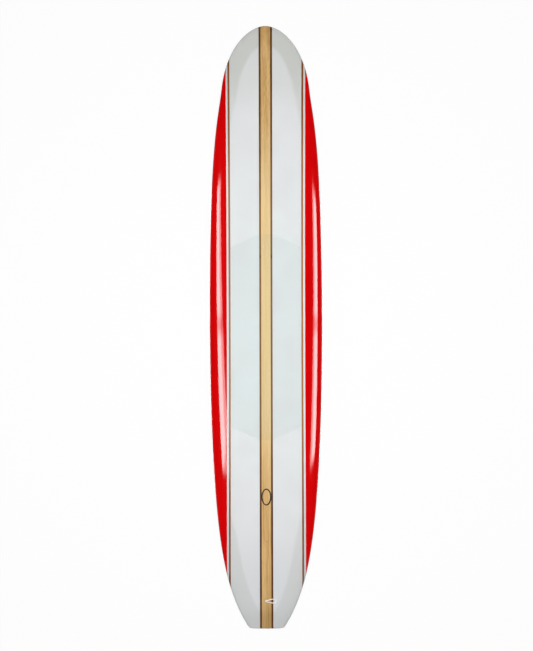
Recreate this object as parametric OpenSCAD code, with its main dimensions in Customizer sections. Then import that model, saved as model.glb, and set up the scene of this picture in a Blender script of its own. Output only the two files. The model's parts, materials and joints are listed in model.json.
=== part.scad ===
// Longboard surfboard: a foam blank with wooden stringers inside a glass shell, a fin box and a leash loop.
// The board lies deck up. +Y is the nose, +X the starboard rail, and the origin is the middle of its
// footprint, at the height of the lowest point of the bottom. All lengths are in millimetres.

/* [Board] */
// Length from the nose tip to the tail block
board_l = 2997; // [2700:1:3200]
// Width at the widest point
board_w = 578; // [540:1:640]
// Thickness at the middle
board_t = 79; // [70:0.5:90]
// Thickness just behind the rounded nose tip
nose_t = 16; // [14:0.5:24]
// Thickness at the tail block
tail_t = 30; // [28:0.5:38]
// Height of the bottom at the nose tip above its lowest point
nose_rocker = 140; // [90:1:170]
// Height of the bottom at the tail block above its lowest point
tail_rocker = 89; // [50:1:110]
// Distance of the lowest point of the bottom ahead of the middle
rocker_low = -20; // [-200:1:200]

/* [Outline] */
// Distance of the widest point ahead of the middle
wide_point = 50; // [-100:1:150]
// Distance from each end at which the nose and tail widths are taken
mark_l = 304.8; // [280:0.1:330]
// Width of the nose at its mark
nose_w = 443; // [425:1:480]
// Angle of the outline to the centre line at the nose mark
nose_angle = 7; // [3:0.5:12]
// Width of the tail at its mark
tail_w = 421; // [410:1:450]
// Angle of the outline to the centre line at the tail mark
tail_angle = 12.5; // [8:0.5:18]
// Width of the straight tail block
block_w = 176; // [120:1:240]
// Angle of the outline to the centre line at the tail block
block_angle = 34; // [25:1:45]

/* [Stringers and panels] */
// Width of the balsa centre stringer
balsa_w = 47.6; // [44:0.1:60]
// Width of each redwood strip beside the balsa
redwood_w = 9.5; // [3:0.5:12]
// Distance between the middles of the two offset stringers
offset_spacing = 368.5; // [320:0.5:380]
// Width of each offset stringer
offset_w = 9.5; // [3:0.5:10]
// Width of the white stripe between an offset stringer and the red rail
stripe_w = 9.5; // [6:0.5:16]

/* [Glass] */
// Thickness of the glass on the deck
deck_skin = 1.2; // [0.8:0.1:2]
// Thickness of the glass on the bottom
bottom_skin = 0.9; // [0.6:0.1:1.5]
// Thickness of the red laminate at the rail
rail_skin = 1; // [0.6:0.1:1.5]
// Thickness of each glass patch
patch_t = 0.3; // [0.2:0.05:0.6]
// Thickness of the two stickers
sticker_t = 0.2; // [0.1:0.05:0.4]
// Resin film between a patch or sticker and the glass below it
film = 0.05; // [0.03:0.01:0.1]

/* [Deck and tail patches] */
// Distance from the nose tip to the front point of the deck patch
deck_patch_front = 1020; // [900:5:1200]
// Distance from the nose tip to the rear point of the deck patch
deck_patch_rear = 2060; // [1800:5:2200]
// Length of each pointed end of the deck patch
deck_patch_point = 66; // [30:1:120]
// Distance from the tail block to the front point of the tail patch
tail_patch_l = 480; // [420:1:520]
// Length of the pointed end of the tail patch
tail_patch_point = 123; // [60:1:140]
// Distance from the tail block to the rear edge of the tail patch
tail_patch_rear = 60; // [40:1:80]

/* [Fin box] */
// Length of the fin box
box_l = 266.7; // [220:0.1:280]
// Width of the fin box
box_w = 25.4; // [24:0.1:30]
// Thickness of the box's wall at each end of the slot
box_end = 12.7; // [8:0.1:16]
// Thickness of the box's floor
box_floor = 3.5; // [2:0.1:5]
// Radius of the corners of the box
box_r = 4; // [2:0.5:8]
// Distance from the tail block to the rear end of the box
box_aft = 100; // [85:1:110]
// Width of the slot
slot_w = 9.7; // [9:0.1:11]
// Radius of the corners of the slot's mouth
slot_r = 3; // [1:0.5:4]
// Thickness of the lips that the plate rests on
lip_h = 9.5; // [8:0.1:11]
// Distance from the front end of the slot to the notch that lets the plate in
notch_in = 36; // [20:1:60]
// Length of the notch
notch_l = 15; // [14:0.5:20]
// Thickness of the resin round the box
bed_t = 3; // [1:0.5:4]

/* [Fin plate and screw] */
// Width by which the plate rests on each lip
plate_hold = 1.5; // [1:0.1:2]
// Thickness of the plate
plate_h = 3.2; // [2.5:0.1:3.5]
// Clearance between the plate and each side of its channel
side_gap = 0.3; // [0.1:0.05:0.5]
// Height of the channel above the plate
channel_room = 1.8; // [1:0.1:2.5]
// Clearance between the plate and the lip and end that it rests at
plate_gap = 0.1; // [0.05:0.05:0.3]
// Radius of the threaded hole in the plate
thread_r = 2; // [1.9:0.05:2.2]
// Radial clearance of the screw in its thread
thread_gap = 0.05; // [0.02:0.01:0.1]
// Clearance between the screw's head and each side of the slot
head_gap = 0.95; // [0.5:0.05:1.2]
// Height of the screw's head
head_h = 2.6; // [2:0.1:3]
// Length of the screw below its head
screw_l = 12.7; // [11:0.1:13.5]
// Distance of the screw's head inside the slot's mouth
head_in = 1.2; // [0.5:0.1:2]
// Clearance between the screw's tip and the slot's floor
tip_room = 2.5; // [1.5:0.1:4]
// Width of the driver slot in the head
driver_w = 1.1; // [0.8:0.1:1.4]
// Depth of the driver slot in the head
driver_h = 1.2; // [0.8:0.1:1.5]

/* [Leash loop] */
// Distance from the tail block to the middle of the resin plug
anchor_aft = 140; // [125:1:160]
// Distance of the plug to starboard of the middle
anchor_x = -5; // [-10:1:10]
// Radius of the resin plug
anchor_r = 10; // [9:0.5:12]
// Depth of the resin plug
anchor_h = 9; // [7:0.5:10]
// Radius of the cord
cord_r = 2; // [1.5:0.1:2.5]

/* [Stickers] */
// Distance from the rear point of the deck patch to the middle of the deck sticker
deck_sticker_behind = 284; // [120:1:340]
// Half length of the deck sticker along the board
deck_sticker_ry = 42; // [20:1:50]
// Half width of the deck sticker across the board
deck_sticker_rx = 25; // [15:1:25]
// Distance from the front point of the tail patch to the middle of the bottom sticker
bottom_sticker_ahead = 115; // [80:1:300]
// Half length of the bottom sticker along the board
bottom_sticker_ry = 55; // [30:1:70]
// Half width of the bottom sticker across the board
bottom_sticker_rx = 135; // [60:1:150]
// Width of the line that each sticker draws
sticker_line = 6; // [3:0.5:10]

/* [Hidden] */

// --- Shape of the outline, the rocker and the sections ---
// Each pull is how far a curve's handle reaches, as a share of the length of its stretch
TIP_PULL = 0.16;
NOSE_PULL = 0.85;
SHOULDER_PULL = 0.11;
FORE_PULL = 0.78;
AFT_PULL = 0.24;
HIP_PULL = 0.26;
TAIL_PULL = 0.25;
BLOCK_PULL = 0.45;
// Powers of the curves that the bottom rises along, and that the thickness falls along
NOSE_RISE = 2.6;
TAIL_RISE = 2;
NOSE_FOIL = 3.3;
TAIL_FOIL = 3;
// The deck and the bottom are superellipses that meet at the rail
DECK_POWERS = [2.6, 2.8];
BOTTOM_POWERS = [3.6, 3.2];
// Height of the rail's apex as a share of the thickness, and the length of the rounding at the nose tip
APEX = 0.45;
TIP_ROUND = 70;

half_l = board_l / 2;
fore_l = half_l - mark_l - wide_point;
aft_l = half_l - mark_l + wide_point;
nose_mark = [nose_w / 2, half_l - mark_l];
tail_mark = [tail_w / 2, mark_l - half_l];
wide_mark = [board_w / 2, wide_point];
block_mark = [block_w / 2, -half_l];

// Direction along the outline towards the tail, at an angle to the centre line
function aft_dir(angle) = [sin(angle), -cos(angle)];

NOSE_CURVE = [
    [0, half_l],
    [TIP_PULL * nose_w / 2, half_l],
    nose_mark - NOSE_PULL * mark_l * aft_dir(nose_angle),
    nose_mark,
];
FORE_CURVE = [
    nose_mark,
    nose_mark + SHOULDER_PULL * fore_l * aft_dir(nose_angle),
    wide_mark + [0, FORE_PULL * fore_l],
    wide_mark,
];
AFT_CURVE = [
    wide_mark,
    wide_mark - [0, AFT_PULL * aft_l],
    tail_mark - HIP_PULL * aft_l * aft_dir(-tail_angle),
    tail_mark,
];
TAIL_CURVE = [
    tail_mark,
    tail_mark + TAIL_PULL * mark_l * aft_dir(-tail_angle),
    block_mark - BLOCK_PULL * mark_l * aft_dir(-block_angle),
    block_mark,
];

function bezier(c, s) =
    pow(1 - s, 3) * c[0] + 3 * pow(1 - s, 2) * s * c[1] + 3 * (1 - s) * s * s * c[2] + pow(s, 3) * c[3];

// Half width where a curve passes y, found by halving
HALVINGS = 40;
function curve_x(c, y, lo = 0, hi = 1, n = HALVINGS) =
    let (mid = (lo + hi) / 2, p = bezier(c, mid))
    n == 0 ? p[0] : p[1] > y ? curve_x(c, y, mid, hi, n - 1) : curve_x(c, y, lo, mid, n - 1);

function half_width(y) =
    y > nose_mark[1] ? curve_x(NOSE_CURVE, y)
    : y > wide_point ? curve_x(FORE_CURVE, y)
    : y > tail_mark[1] ? curve_x(AFT_CURVE, y)
    : curve_x(TAIL_CURVE, y);

// Where the outline, between the widest point and an end, has a half width of x
function outline_y(x, wide, end, n = HALVINGS) =
    let (mid = (wide + end) / 2)
    n == 0 ? mid : half_width(mid) > x ? outline_y(x, mid, end, n - 1) : outline_y(x, wide, mid, n - 1);

function rocker(y) =
    y > rocker_low
    ? nose_rocker * pow((y - rocker_low) / (half_l - rocker_low), NOSE_RISE)
    : tail_rocker * pow((rocker_low - y) / (half_l + rocker_low), TAIL_RISE);

// Height of a superellipse at share r of its half width
function bulge(r, powers) = pow(1 - pow(r, powers[0]), 1 / powers[1]);

function tip_rounding(y) =
    let (d = half_l - y)
    d < TIP_ROUND ? bulge(1 - d / TIP_ROUND, DECK_POWERS) : 1;

function thickness(y) =
    let (u = abs(y) / half_l)
    y > 0
    ? tip_rounding(y) * (nose_t + (board_t - nose_t) * (1 - pow(u, NOSE_FOIL)))
    : tail_t + (board_t - tail_t) * (1 - pow(u, TAIL_FOIL));

// --- Sections across the board ---
// A section is [y, half width, bottom, apex, deck]
function outer_section(at) =
    let (y = at[0], low = rocker(y), t = thickness(y))
    [y, at[1], low, low + APEX * t, low + t];

core_x = 1 - 2 * rail_skin / board_w;
core_y = 1 - 2 * rail_skin / board_l;
function core_section(s) =
    [
        s[0] * core_y,
        s[1] * core_x,
        s[2] + min(bottom_skin, s[3] - s[2]),
        s[3],
        s[4] - min(deck_skin, s[4] - s[3]),
    ];

// Lines that run the length of the board, from the middle outwards
balsa_x = balsa_w / 2;
redwood_x = balsa_x + redwood_w;
offset_in = (offset_spacing - offset_w) / 2;
offset_out = (offset_spacing + offset_w) / 2;
panel_x = offset_out + stripe_w;
// Zones from the middle outwards: name, line where the zone begins, facets across; the last runs to the rail
ZONES = [
    ["balsa", 0, 1],
    ["redwood", balsa_x, 1],
    ["inner", redwood_x, 4],
    ["offset", offset_in, 1],
    ["stripe", offset_out, 1],
    ["rail", panel_x, 6],
];
function zone(name) = search([name], ZONES)[0];

// A width this close to a line is on it
ON_LINE = 0.001;
function clip(x, w) = x > w - ON_LINE ? w : x;

function zone_columns(k, w) =
    let (
        a = clip(ZONES[k][1], w),
        b = k == len(ZONES) - 1 ? w : clip(ZONES[k + 1][1], w),
        n = ZONES[k][2],
        crowding = 1 + (w > 0 ? pow(b / w, 6) : 0)
    )
    [for (j = [0:n]) j == n ? b : a + (b - a) * (1 - pow(1 - j / n, crowding))];

function rest(v) = [for (i = [1:1:len(v) - 1]) v[i]];
function backwards(v) = [for (i = [len(v) - 1:-1:0]) v[i]];
function zones_columns(k, last, w) =
    k == last ? zone_columns(k, w) : concat(zone_columns(k, w), rest(zones_columns(k + 1, last, w)));
function columns(from, to, w) = zones_columns(zone(from), zone(to), w);
// The same columns on both sides of the middle
function both_sides(v) = concat([for (x = backwards(rest(v))) -x], v);

function share(x, w) = w > 0 ? min(1, abs(x) / w) : 1;
function deck_z(s, x) = s[3] + (s[4] - s[3]) * bulge(share(x, s[1]), DECK_POWERS);
function bottom_z(s, x) = s[3] - (s[3] - s[2]) * bulge(share(x, s[1]), BOTTOM_POWERS);
function deck_row(s, v) = [for (x = v) [x, s[0], deck_z(s, x)]];
function bottom_row(s, v) = [for (x = v) [x, s[0], bottom_z(s, x)]];
function apex_row(s, v) = [for (x = v) [x, s[0], s[3]]];
function deck_at(x, y) = deck_z(outer_section([y, half_width(y)]), x);
function bottom_at(x, y) = bottom_z(outer_section([y, half_width(y)]), x);

// Sections stand where each line meets the outline, and evenly between those
NOSE_STEPS = 11;
BODY_STEPS = 9;
TAIL_STEPS = 6;
CLEAR_OF_LINE = 5;
deck_patch_top = half_l - deck_patch_front;
deck_patch_low = half_l - deck_patch_rear;
tail_patch_top = tail_patch_l - half_l;
tail_patch_low = tail_patch_rear - half_l;
// A patch's point widens by one column of the inner panel at each section
POINT_STEPS = ZONES[zone("inner")][2];
points = [
    [deck_patch_top, -deck_patch_point], [deck_patch_low, deck_patch_point],
    [tail_patch_top, -tail_patch_point],
];
patch_ys = concat(
    [for (v = points, i = [0:POINT_STEPS]) v[0] + v[1] * i / POINT_STEPS],
    [tail_patch_low]
);
function in_point(y) = len([for (v = points) if ((y - v[0]) * (y - v[0] - v[1]) < 0) v]) > 0;
function near_mark(y) = min([for (m = fixed_marks) abs(m[0] - y)]) < CLEAR_OF_LINE;
core_lines = [for (x = [balsa_x, redwood_x, offset_in, offset_out]) x / core_x];
nose_meets = [for (x = concat(core_lines, [panel_x])) [outline_y(x, wide_point, half_l), x]];
tail_meets = [
    for (x = concat(core_lines, [panel_x])) if (x > block_w / 2) [outline_y(x, wide_point, -half_l), x]
];
fixed_marks = concat(nose_meets, tail_meets, [for (y = patch_ys) [y, half_width(y)]]);
even_ys = concat(
    [for (i = [1:NOSE_STEPS - 1]) bezier(NOSE_CURVE, i / NOSE_STEPS)[1]],
    [for (i = [0:BODY_STEPS - 1]) nose_mark[1] - fore_l * i / BODY_STEPS],
    [for (i = [0:BODY_STEPS - 1]) wide_point - aft_l * i / BODY_STEPS],
    [for (i = [0:TAIL_STEPS - 1]) tail_mark[1] - mark_l * i / TAIL_STEPS]
);
even_marks = [for (y = even_ys) if (!near_mark(y) && !in_point(y)) [y, half_width(y)]];
function nose_first(v) =
    len(v) < 2 ? v
    : concat(
        nose_first([for (m = v) if (m[0] > v[0][0]) m]),
        [v[0]],
        nose_first([for (m = v) if (m[0] < v[0][0]) m])
    );
marks = concat([[half_l, 0]], nose_first(concat(fixed_marks, even_marks)), [[-half_l, block_w / 2]]);
OUTER = [for (m = marks) outer_section(m)];
CORE = [for (s = OUTER) core_section(s)];
LAST = len(marks) - 1;

// --- Skinning ---
// A quad's diagonal starts at its outboard corner, so that pieces which share a surface share its facets
function quad(p, a, b, c, d) =
    abs(p[a][0]) > abs(p[b][0]) ? [[a, b, d], [b, c, d]] : [[a, b, c], [a, c, d]];
function is_facet(p, f) = p[f[0]] != p[f[1]] && p[f[1]] != p[f[2]] && p[f[2]] != p[f[0]];

// Joins closed rings of points into a solid; a cap joins each point of a ring to the one opposite
module loft(rings, cap_first = false, cap_last = false) {
    n = len(rings[0]);
    m = len(rings) - 1;
    p = [for (r = rings) each r];
    sides = [
        for (i = [0:m - 1], j = [0:n - 1])
            let (k = (j + 1) % n)
            each quad(p, i * n + j, i * n + k, (i + 1) * n + k, (i + 1) * n + j)
    ];
    first = [
        for (j = [0:n / 2 - 2])
            each [[j, n - 1 - j, j + 1], [j + 1, n - 1 - j, n - 2 - j]]
    ];
    last = [for (f = first) [for (v = backwards(f)) v + m * n]];
    faces = concat(sides, cap_first ? first : [], cap_last ? last : []);
    polyhedron(points = p, faces = [for (f = faces) if (is_facet(p, f)) f], convexity = 6);
}

function spans(sections, x) = [for (s = sections) if (s[1] > x - ON_LINE) s];

// A strip of the blank between two lines on the starboard side
module core_strip(from, to) {
    inner_x = ZONES[zone(from)][1];
    reach = spans(CORE, inner_x);
    loft(
        [for (s = reach) let (v = columns(from, to, s[1])) concat(deck_row(s, v), bottom_row(s, backwards(v)))],
        cap_last = CORE[LAST][1] > inner_x
    );
}

module port() {
    mirror([1, 0, 0]) children();
}

module shell(on_deck) {
    function row(s, v) = on_deck ? deck_row(s, v) : bottom_row(s, v);
    function full(s) = both_sides(columns("balsa", "stripe", s[1]));
    function ring(outer, inner) = concat(outer, backwards(inner));
    rings = concat(
        [for (i = [0:LAST]) ring(row(OUTER[i], full(OUTER[i])), row(CORE[i], full(CORE[i])))],
        [ring(apex_row(OUTER[LAST], full(OUTER[LAST])), apex_row(CORE[LAST], full(CORE[LAST])))]
    );
    loft([for (r = rings) on_deck ? r : backwards(r)], cap_last = true);
}

// --- Pieces of the blank ---
module centre_stringer() {
    color("burlywood")
    difference() {
        loft(
            [
                for (s = CORE)
                    let (v = both_sides(columns("balsa", "balsa", s[1])))
                    concat(deck_row(s, v), bottom_row(s, backwards(v)))
            ],
            cap_last = true
        );
        fin_well();
        anchor_plug();
    }
}

module redwood_strip() {
    color([0.41, 0.22, 0.10]) core_strip("redwood", "redwood");
}

module foam_inner() {
    color([0.96, 0.96, 0.94]) core_strip("inner", "inner");
}

module offset_stringer() {
    color([0.58, 0.32, 0.16]) core_strip("offset", "offset");
}

module foam_outer() {
    color([0.96, 0.96, 0.94]) core_strip("stripe", "rail");
}

// --- Glass ---
module deck_glass() {
    color([0.88, 0.89, 0.88])
    difference() {
        shell(true);
        anchor_plug();
    }
}

module bottom_glass() {
    color([0.91, 0.91, 0.92])
    difference() {
        shell(false);
        fin_well();
    }
}

module rail_laminate() {
    function around(s) =
        let (v = columns("rail", "rail", s[1]))
        concat(deck_row(s, v), rest(bottom_row(s, backwards(v))));
    reach = [for (i = [0:LAST]) if (OUTER[i][1] > panel_x - ON_LINE) i];
    color([0.8, 0.01, 0.01])
    loft([for (i = reach) concat(around(OUTER[i]), backwards(around(CORE[i])))]);
}

// A thin sheet on the glass, from one edge column to the other at each section
module sheet_on(sections, on_deck, t) {
    sense = on_deck ? 1 : -1;
    function lifted(s, v, lift) =
        [for (x = v) [x, s[0], (on_deck ? deck_z(s, x) : bottom_z(s, x)) + sense * lift]];
    rings = [
        for (pair = sections)
            let (s = pair[0], v = both_sides([for (x = columns("balsa", "inner", s[1])) min(x, pair[1])]))
            concat(lifted(s, v, film + t), lifted(s, backwards(v), film))
    ];
    loft([for (r = rings) on_deck ? r : backwards(r)], cap_first = true, cap_last = true);
}

function between(top, low) = [for (s = OUTER) if (s[0] <= top + ON_LINE && s[0] >= low - ON_LINE) s];
// The patch's edge at a section: a column of the inner panel, by how far into a point the section is
function edge_column(s, depth) =
    columns("inner", "inner", s[1])[floor(min(1, depth + ON_LINE) * POINT_STEPS)];

module deck_patch() {
    function depth(y) = min(deck_patch_top - y, y - deck_patch_low) / deck_patch_point;
    color([0.84, 0.87, 0.84])
    sheet_on(
        [for (s = between(deck_patch_top, deck_patch_low)) [s, edge_column(s, depth(s[0]))]],
        true, patch_t
    );
}

module tail_patch() {
    // Keeps the patch off the turn of the rail
    EDGE_SHARE = 0.75;
    function depth(y) = (tail_patch_top - y) / tail_patch_point;
    color([0.86, 0.88, 0.86])
    difference() {
        sheet_on(
            [
                for (s = between(tail_patch_top, tail_patch_low))
                    [s, min(EDGE_SHARE * s[1], edge_column(s, depth(s[0])))]
            ],
            false, patch_t
        );
        fin_well();
    }
}

// --- Fin box ---
// The box stands in its own frame: its face is flush with the bottom at both its ends, and z points
// into the board
slot_l = box_l - 2 * box_end;
slot_h = head_in + head_h + screw_l + tip_room;
box_h = slot_h + box_floor;
plate_w = slot_w + 2 * plate_hold;
channel_w = plate_w + 2 * side_gap;
channel_h = plate_h + channel_room;
head_r = slot_w / 2 - head_gap;
box_y = box_aft + box_l / 2 - half_l;
box_rear_z = rocker(box_y - box_l / 2);
box_front_z = rocker(box_y + box_l / 2);
box_tilt = atan((box_rear_z - box_front_z) / box_l);
THROUGH = 8;

module in_box() {
    translate([0, box_y, (box_rear_z + box_front_z) / 2])
    rotate([-box_tilt, 0, 0])
    children();
}

module rounded_rectangle(w, l, r) {
    square([w - 2 * r, l], center = true);
    square([w, l - 2 * r], center = true);
    for (x = [-1, 1], y = [-1, 1])
        translate([x * (w / 2 - r), y * (l / 2 - r)]) circle(r, $fn = 48);
}

module rounded_bar(w, l, h, r) {
    linear_extrude(h) rounded_rectangle(w, l, r);
}

module fin_well() {
    in_box()
    translate([0, 0, -THROUGH])
    rounded_bar(box_w + 2 * bed_t, box_l + 2 * bed_t, box_h + bed_t + THROUGH, box_r + bed_t);
}

module fin_box() {
    color([0.05, 0.05, 0.05])
    in_box()
    difference() {
        rounded_bar(box_w, box_l, box_h, box_r);
        translate([0, 0, -THROUGH]) rounded_bar(slot_w, slot_l, slot_h + THROUGH, slot_r);
        translate([-channel_w / 2, -slot_l / 2, lip_h]) cube([channel_w, slot_l, channel_h]);
        translate([-channel_w / 2, slot_l / 2 - notch_in - notch_l, -THROUGH])
            cube([channel_w, notch_l, lip_h + THROUGH + channel_h / 2]);
    }
}

module fin_box_bed() {
    color([0.8, 0.8, 0.75])
    in_box()
    difference() {
        rounded_bar(box_w + 2 * bed_t, box_l + 2 * bed_t, box_h + bed_t, box_r + bed_t);
        translate([0, 0, -THROUGH]) rounded_bar(box_w, box_l, box_h + THROUGH, box_r);
    }
}

// The plate is parked at the rear end of the slot, with the screw in it
plate_y = plate_gap + plate_w / 2 - slot_l / 2;

module fin_plate() {
    color([0.75, 0.76, 0.78])
    in_box()
    translate([0, plate_y, lip_h + plate_gap])
    difference() {
        translate([-plate_w / 2, -plate_w / 2, 0]) cube([plate_w, plate_w, plate_h]);
        translate([0, 0, -1]) cylinder(r = thread_r, h = plate_h + 2, $fn = 48);
    }
}

module fin_screw() {
    bevel = 0.4;
    shank_r = thread_r - thread_gap;
    color([0.7, 0.71, 0.73])
    in_box()
    translate([0, plate_y, head_in])
    difference() {
        rotate_extrude($fn = 64)
        polygon([
            [0, 0], [head_r - bevel, 0], [head_r, bevel], [head_r, head_h],
            [shank_r, head_h], [shank_r, head_h + screw_l - bevel],
            [shank_r - bevel, head_h + screw_l], [0, head_h + screw_l],
        ]);
        translate([-head_r, -driver_w / 2, -1]) cube([2 * head_r, driver_w, driver_h + 1]);
    }
}

// --- Leash loop ---
anchor_y = anchor_aft - half_l;
anchor_tilt = atan(
    (deck_at(anchor_x, anchor_y + anchor_r) - deck_at(anchor_x, anchor_y - anchor_r)) / (2 * anchor_r)
);

module on_anchor() {
    translate([anchor_x, anchor_y, deck_at(anchor_x, anchor_y)])
    rotate([anchor_tilt, 0, 0])
    children();
}

module anchor_plug(rise = THROUGH) {
    on_anchor()
    translate([0, 0, -anchor_h])
    cylinder(r = anchor_r, h = anchor_h + rise, $fn = 64);
}

module leash_anchor() {
    color([0.85, 0.84, 0.75]) anchor_plug(rise = 0);
}

// Half of the loop's route, from inside the plug out to its far end: starboard, forward and up
LOOP_HALF = [
    [-3, 2.6, -6], [-1.7, 2.6, -3], [0.3, 2.7, 0], [3.2, 3, 2.9], [7.2, 3.7, 4.5], [12.2, 4.8, 4.6],
    [17.8, 6.2, 3.7], [23.5, 7.5, 2.7], [29.3, 8.6, 2.2], [35.2, 9.3, 2.1], [41, 9.2, 2.1],
    [46.1, 7.6, 2.1], [49.9, 4.6, 2.1], [51.5, 0, 2.1],
];
loop_route = concat(LOOP_HALF, [for (p = rest(backwards(LOOP_HALF))) [p[0], -p[1], p[2]]]);
CORD_SIDES = 8;

function unit(v) = v / norm(v);
// A ring round each point of a route that never runs straight up
function tube_rings(route, r) =
    [
        for (i = [0:len(route) - 1])
            let (
                along = unit(route[min(i + 1, len(route) - 1)] - route[max(i - 1, 0)]),
                side = unit(cross([0, 0, 1], along)),
                up = cross(along, side)
            )
            [for (j = [0:CORD_SIDES - 1])
                let (a = 360 * (j + 0.5) / CORD_SIDES)
                route[i] + r * (sin(a) * side + cos(a) * up)]
    ];

module leash_loop() {
    color([0.93, 0.93, 0.9])
    on_anchor()
    loft(tube_rings(loop_route, cord_r), cap_first = true, cap_last = true);
}

// --- Stickers ---
// A plain oval line that follows the board
STICKER_STEPS = 40;
module oval_line(rx, ry, y0, on_deck) {
    sense = on_deck ? 1 : -1;
    function spot(a, inset, lift) =
        let (x = (rx - inset) * cos(a), y = y0 + (ry - inset) * sin(a))
        [x, y, (on_deck ? deck_at(x, y) : bottom_at(x, y)) + sense * lift];
    function ring(a) =
        [spot(a, 0, film), spot(a, 0, film + sticker_t), spot(a, sticker_line, film + sticker_t),
            spot(a, sticker_line, film)];
    rings = [for (i = [0:STICKER_STEPS]) ring(360 * (i % STICKER_STEPS) / STICKER_STEPS)];
    loft([for (r = rings) on_deck ? r : backwards(r)]);
}

module deck_sticker() {
    color([0.08, 0.08, 0.08])
    oval_line(deck_sticker_rx, deck_sticker_ry, deck_patch_low - deck_sticker_behind, true);
}

module bottom_sticker() {
    color([0.08, 0.08, 0.08])
    oval_line(bottom_sticker_rx, bottom_sticker_ry, tail_patch_top + bottom_sticker_ahead, false);
}

centre_stringer();
port() redwood_strip();  // redwood_strip_port
redwood_strip();  // redwood_strip_starboard
port() foam_inner();  // foam_inner_port
foam_inner();  // foam_inner_starboard
port() offset_stringer();  // offset_stringer_port
offset_stringer();  // offset_stringer_starboard
port() foam_outer();  // foam_outer_port
foam_outer();  // foam_outer_starboard
deck_glass();
bottom_glass();
port() rail_laminate();  // rail_laminate_port
rail_laminate();  // rail_laminate_starboard
deck_patch();
tail_patch();
fin_box();
fin_box_bed();
fin_plate();
fin_screw();
leash_anchor();
leash_loop();
deck_sticker();
bottom_sticker();
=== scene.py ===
"""Longboard surfboard: the looks of a foam and wood board in its glass shell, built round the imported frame.

Lengths are in metres. +Y is the nose, +X the starboard rail, and the board lies deck up.
"""

from __future__ import annotations

import json
import logging
import math
from dataclasses import dataclass, field
from enum import Enum
from functools import cached_property
from typing import Any, Iterable

import bmesh
import bpy
import numpy as np
from mathutils import Matrix, Vector
from mathutils.kdtree import KDTree

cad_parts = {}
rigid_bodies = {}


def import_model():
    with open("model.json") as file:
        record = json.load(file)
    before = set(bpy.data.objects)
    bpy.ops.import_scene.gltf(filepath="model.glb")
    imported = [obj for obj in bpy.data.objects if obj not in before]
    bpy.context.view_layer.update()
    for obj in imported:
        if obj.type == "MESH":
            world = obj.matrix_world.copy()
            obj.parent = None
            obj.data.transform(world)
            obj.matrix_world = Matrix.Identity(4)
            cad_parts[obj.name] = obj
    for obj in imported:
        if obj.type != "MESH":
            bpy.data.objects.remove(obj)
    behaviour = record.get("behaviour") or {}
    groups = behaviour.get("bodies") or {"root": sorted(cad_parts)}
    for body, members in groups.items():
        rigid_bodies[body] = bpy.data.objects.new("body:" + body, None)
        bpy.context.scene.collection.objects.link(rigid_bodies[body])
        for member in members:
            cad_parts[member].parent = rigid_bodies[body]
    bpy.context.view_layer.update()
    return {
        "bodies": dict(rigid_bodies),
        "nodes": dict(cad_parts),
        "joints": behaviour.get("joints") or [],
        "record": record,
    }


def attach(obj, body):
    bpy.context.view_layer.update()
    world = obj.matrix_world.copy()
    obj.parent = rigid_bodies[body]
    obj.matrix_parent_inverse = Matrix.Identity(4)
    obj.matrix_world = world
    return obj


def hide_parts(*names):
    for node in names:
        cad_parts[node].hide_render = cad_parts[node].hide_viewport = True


LOG = logging.getLogger("surfboard")
MERGE = 1e-5
TINY = 1e-9
SHARP_ANGLE = math.radians(38)
CLEAR_SLOTS = ("clear_glass", "glass_patch")

Shape = bmesh.types.BMesh
Piece = bpy.types.Object
Socket = bpy.types.NodeSocket
Colour = tuple[float, float, float, float]
Span = tuple[float, float]
Place = tuple[float, float, float]
# Where a smooth change starts and ends, and the value at each
Ramp = tuple[float, float, float, float]
WHITE: Colour = (1.0, 1.0, 1.0, 1.0)
VECTOR, TINT, VALUE = "NodeSocketVector", "NodeSocketColor", "NodeSocketFloat"


class Side(Enum):
    """A side of the board."""

    PORT = -1
    STARBOARD = 1


class End(Enum):
    """An end of the board."""

    NOSE = 1
    TAIL = -1


class Face(Enum):
    """The two broad faces of the board."""

    DECK = 1
    BOTTOM = -1


# --- The board's shape ---


def bulge(share: np.ndarray, powers: Span) -> np.ndarray:
    """Returns the height of a superellipse at a share of its half width."""
    return (1 - np.clip(share, 0, 1) ** powers[0]) ** (1 / powers[1])


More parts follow.
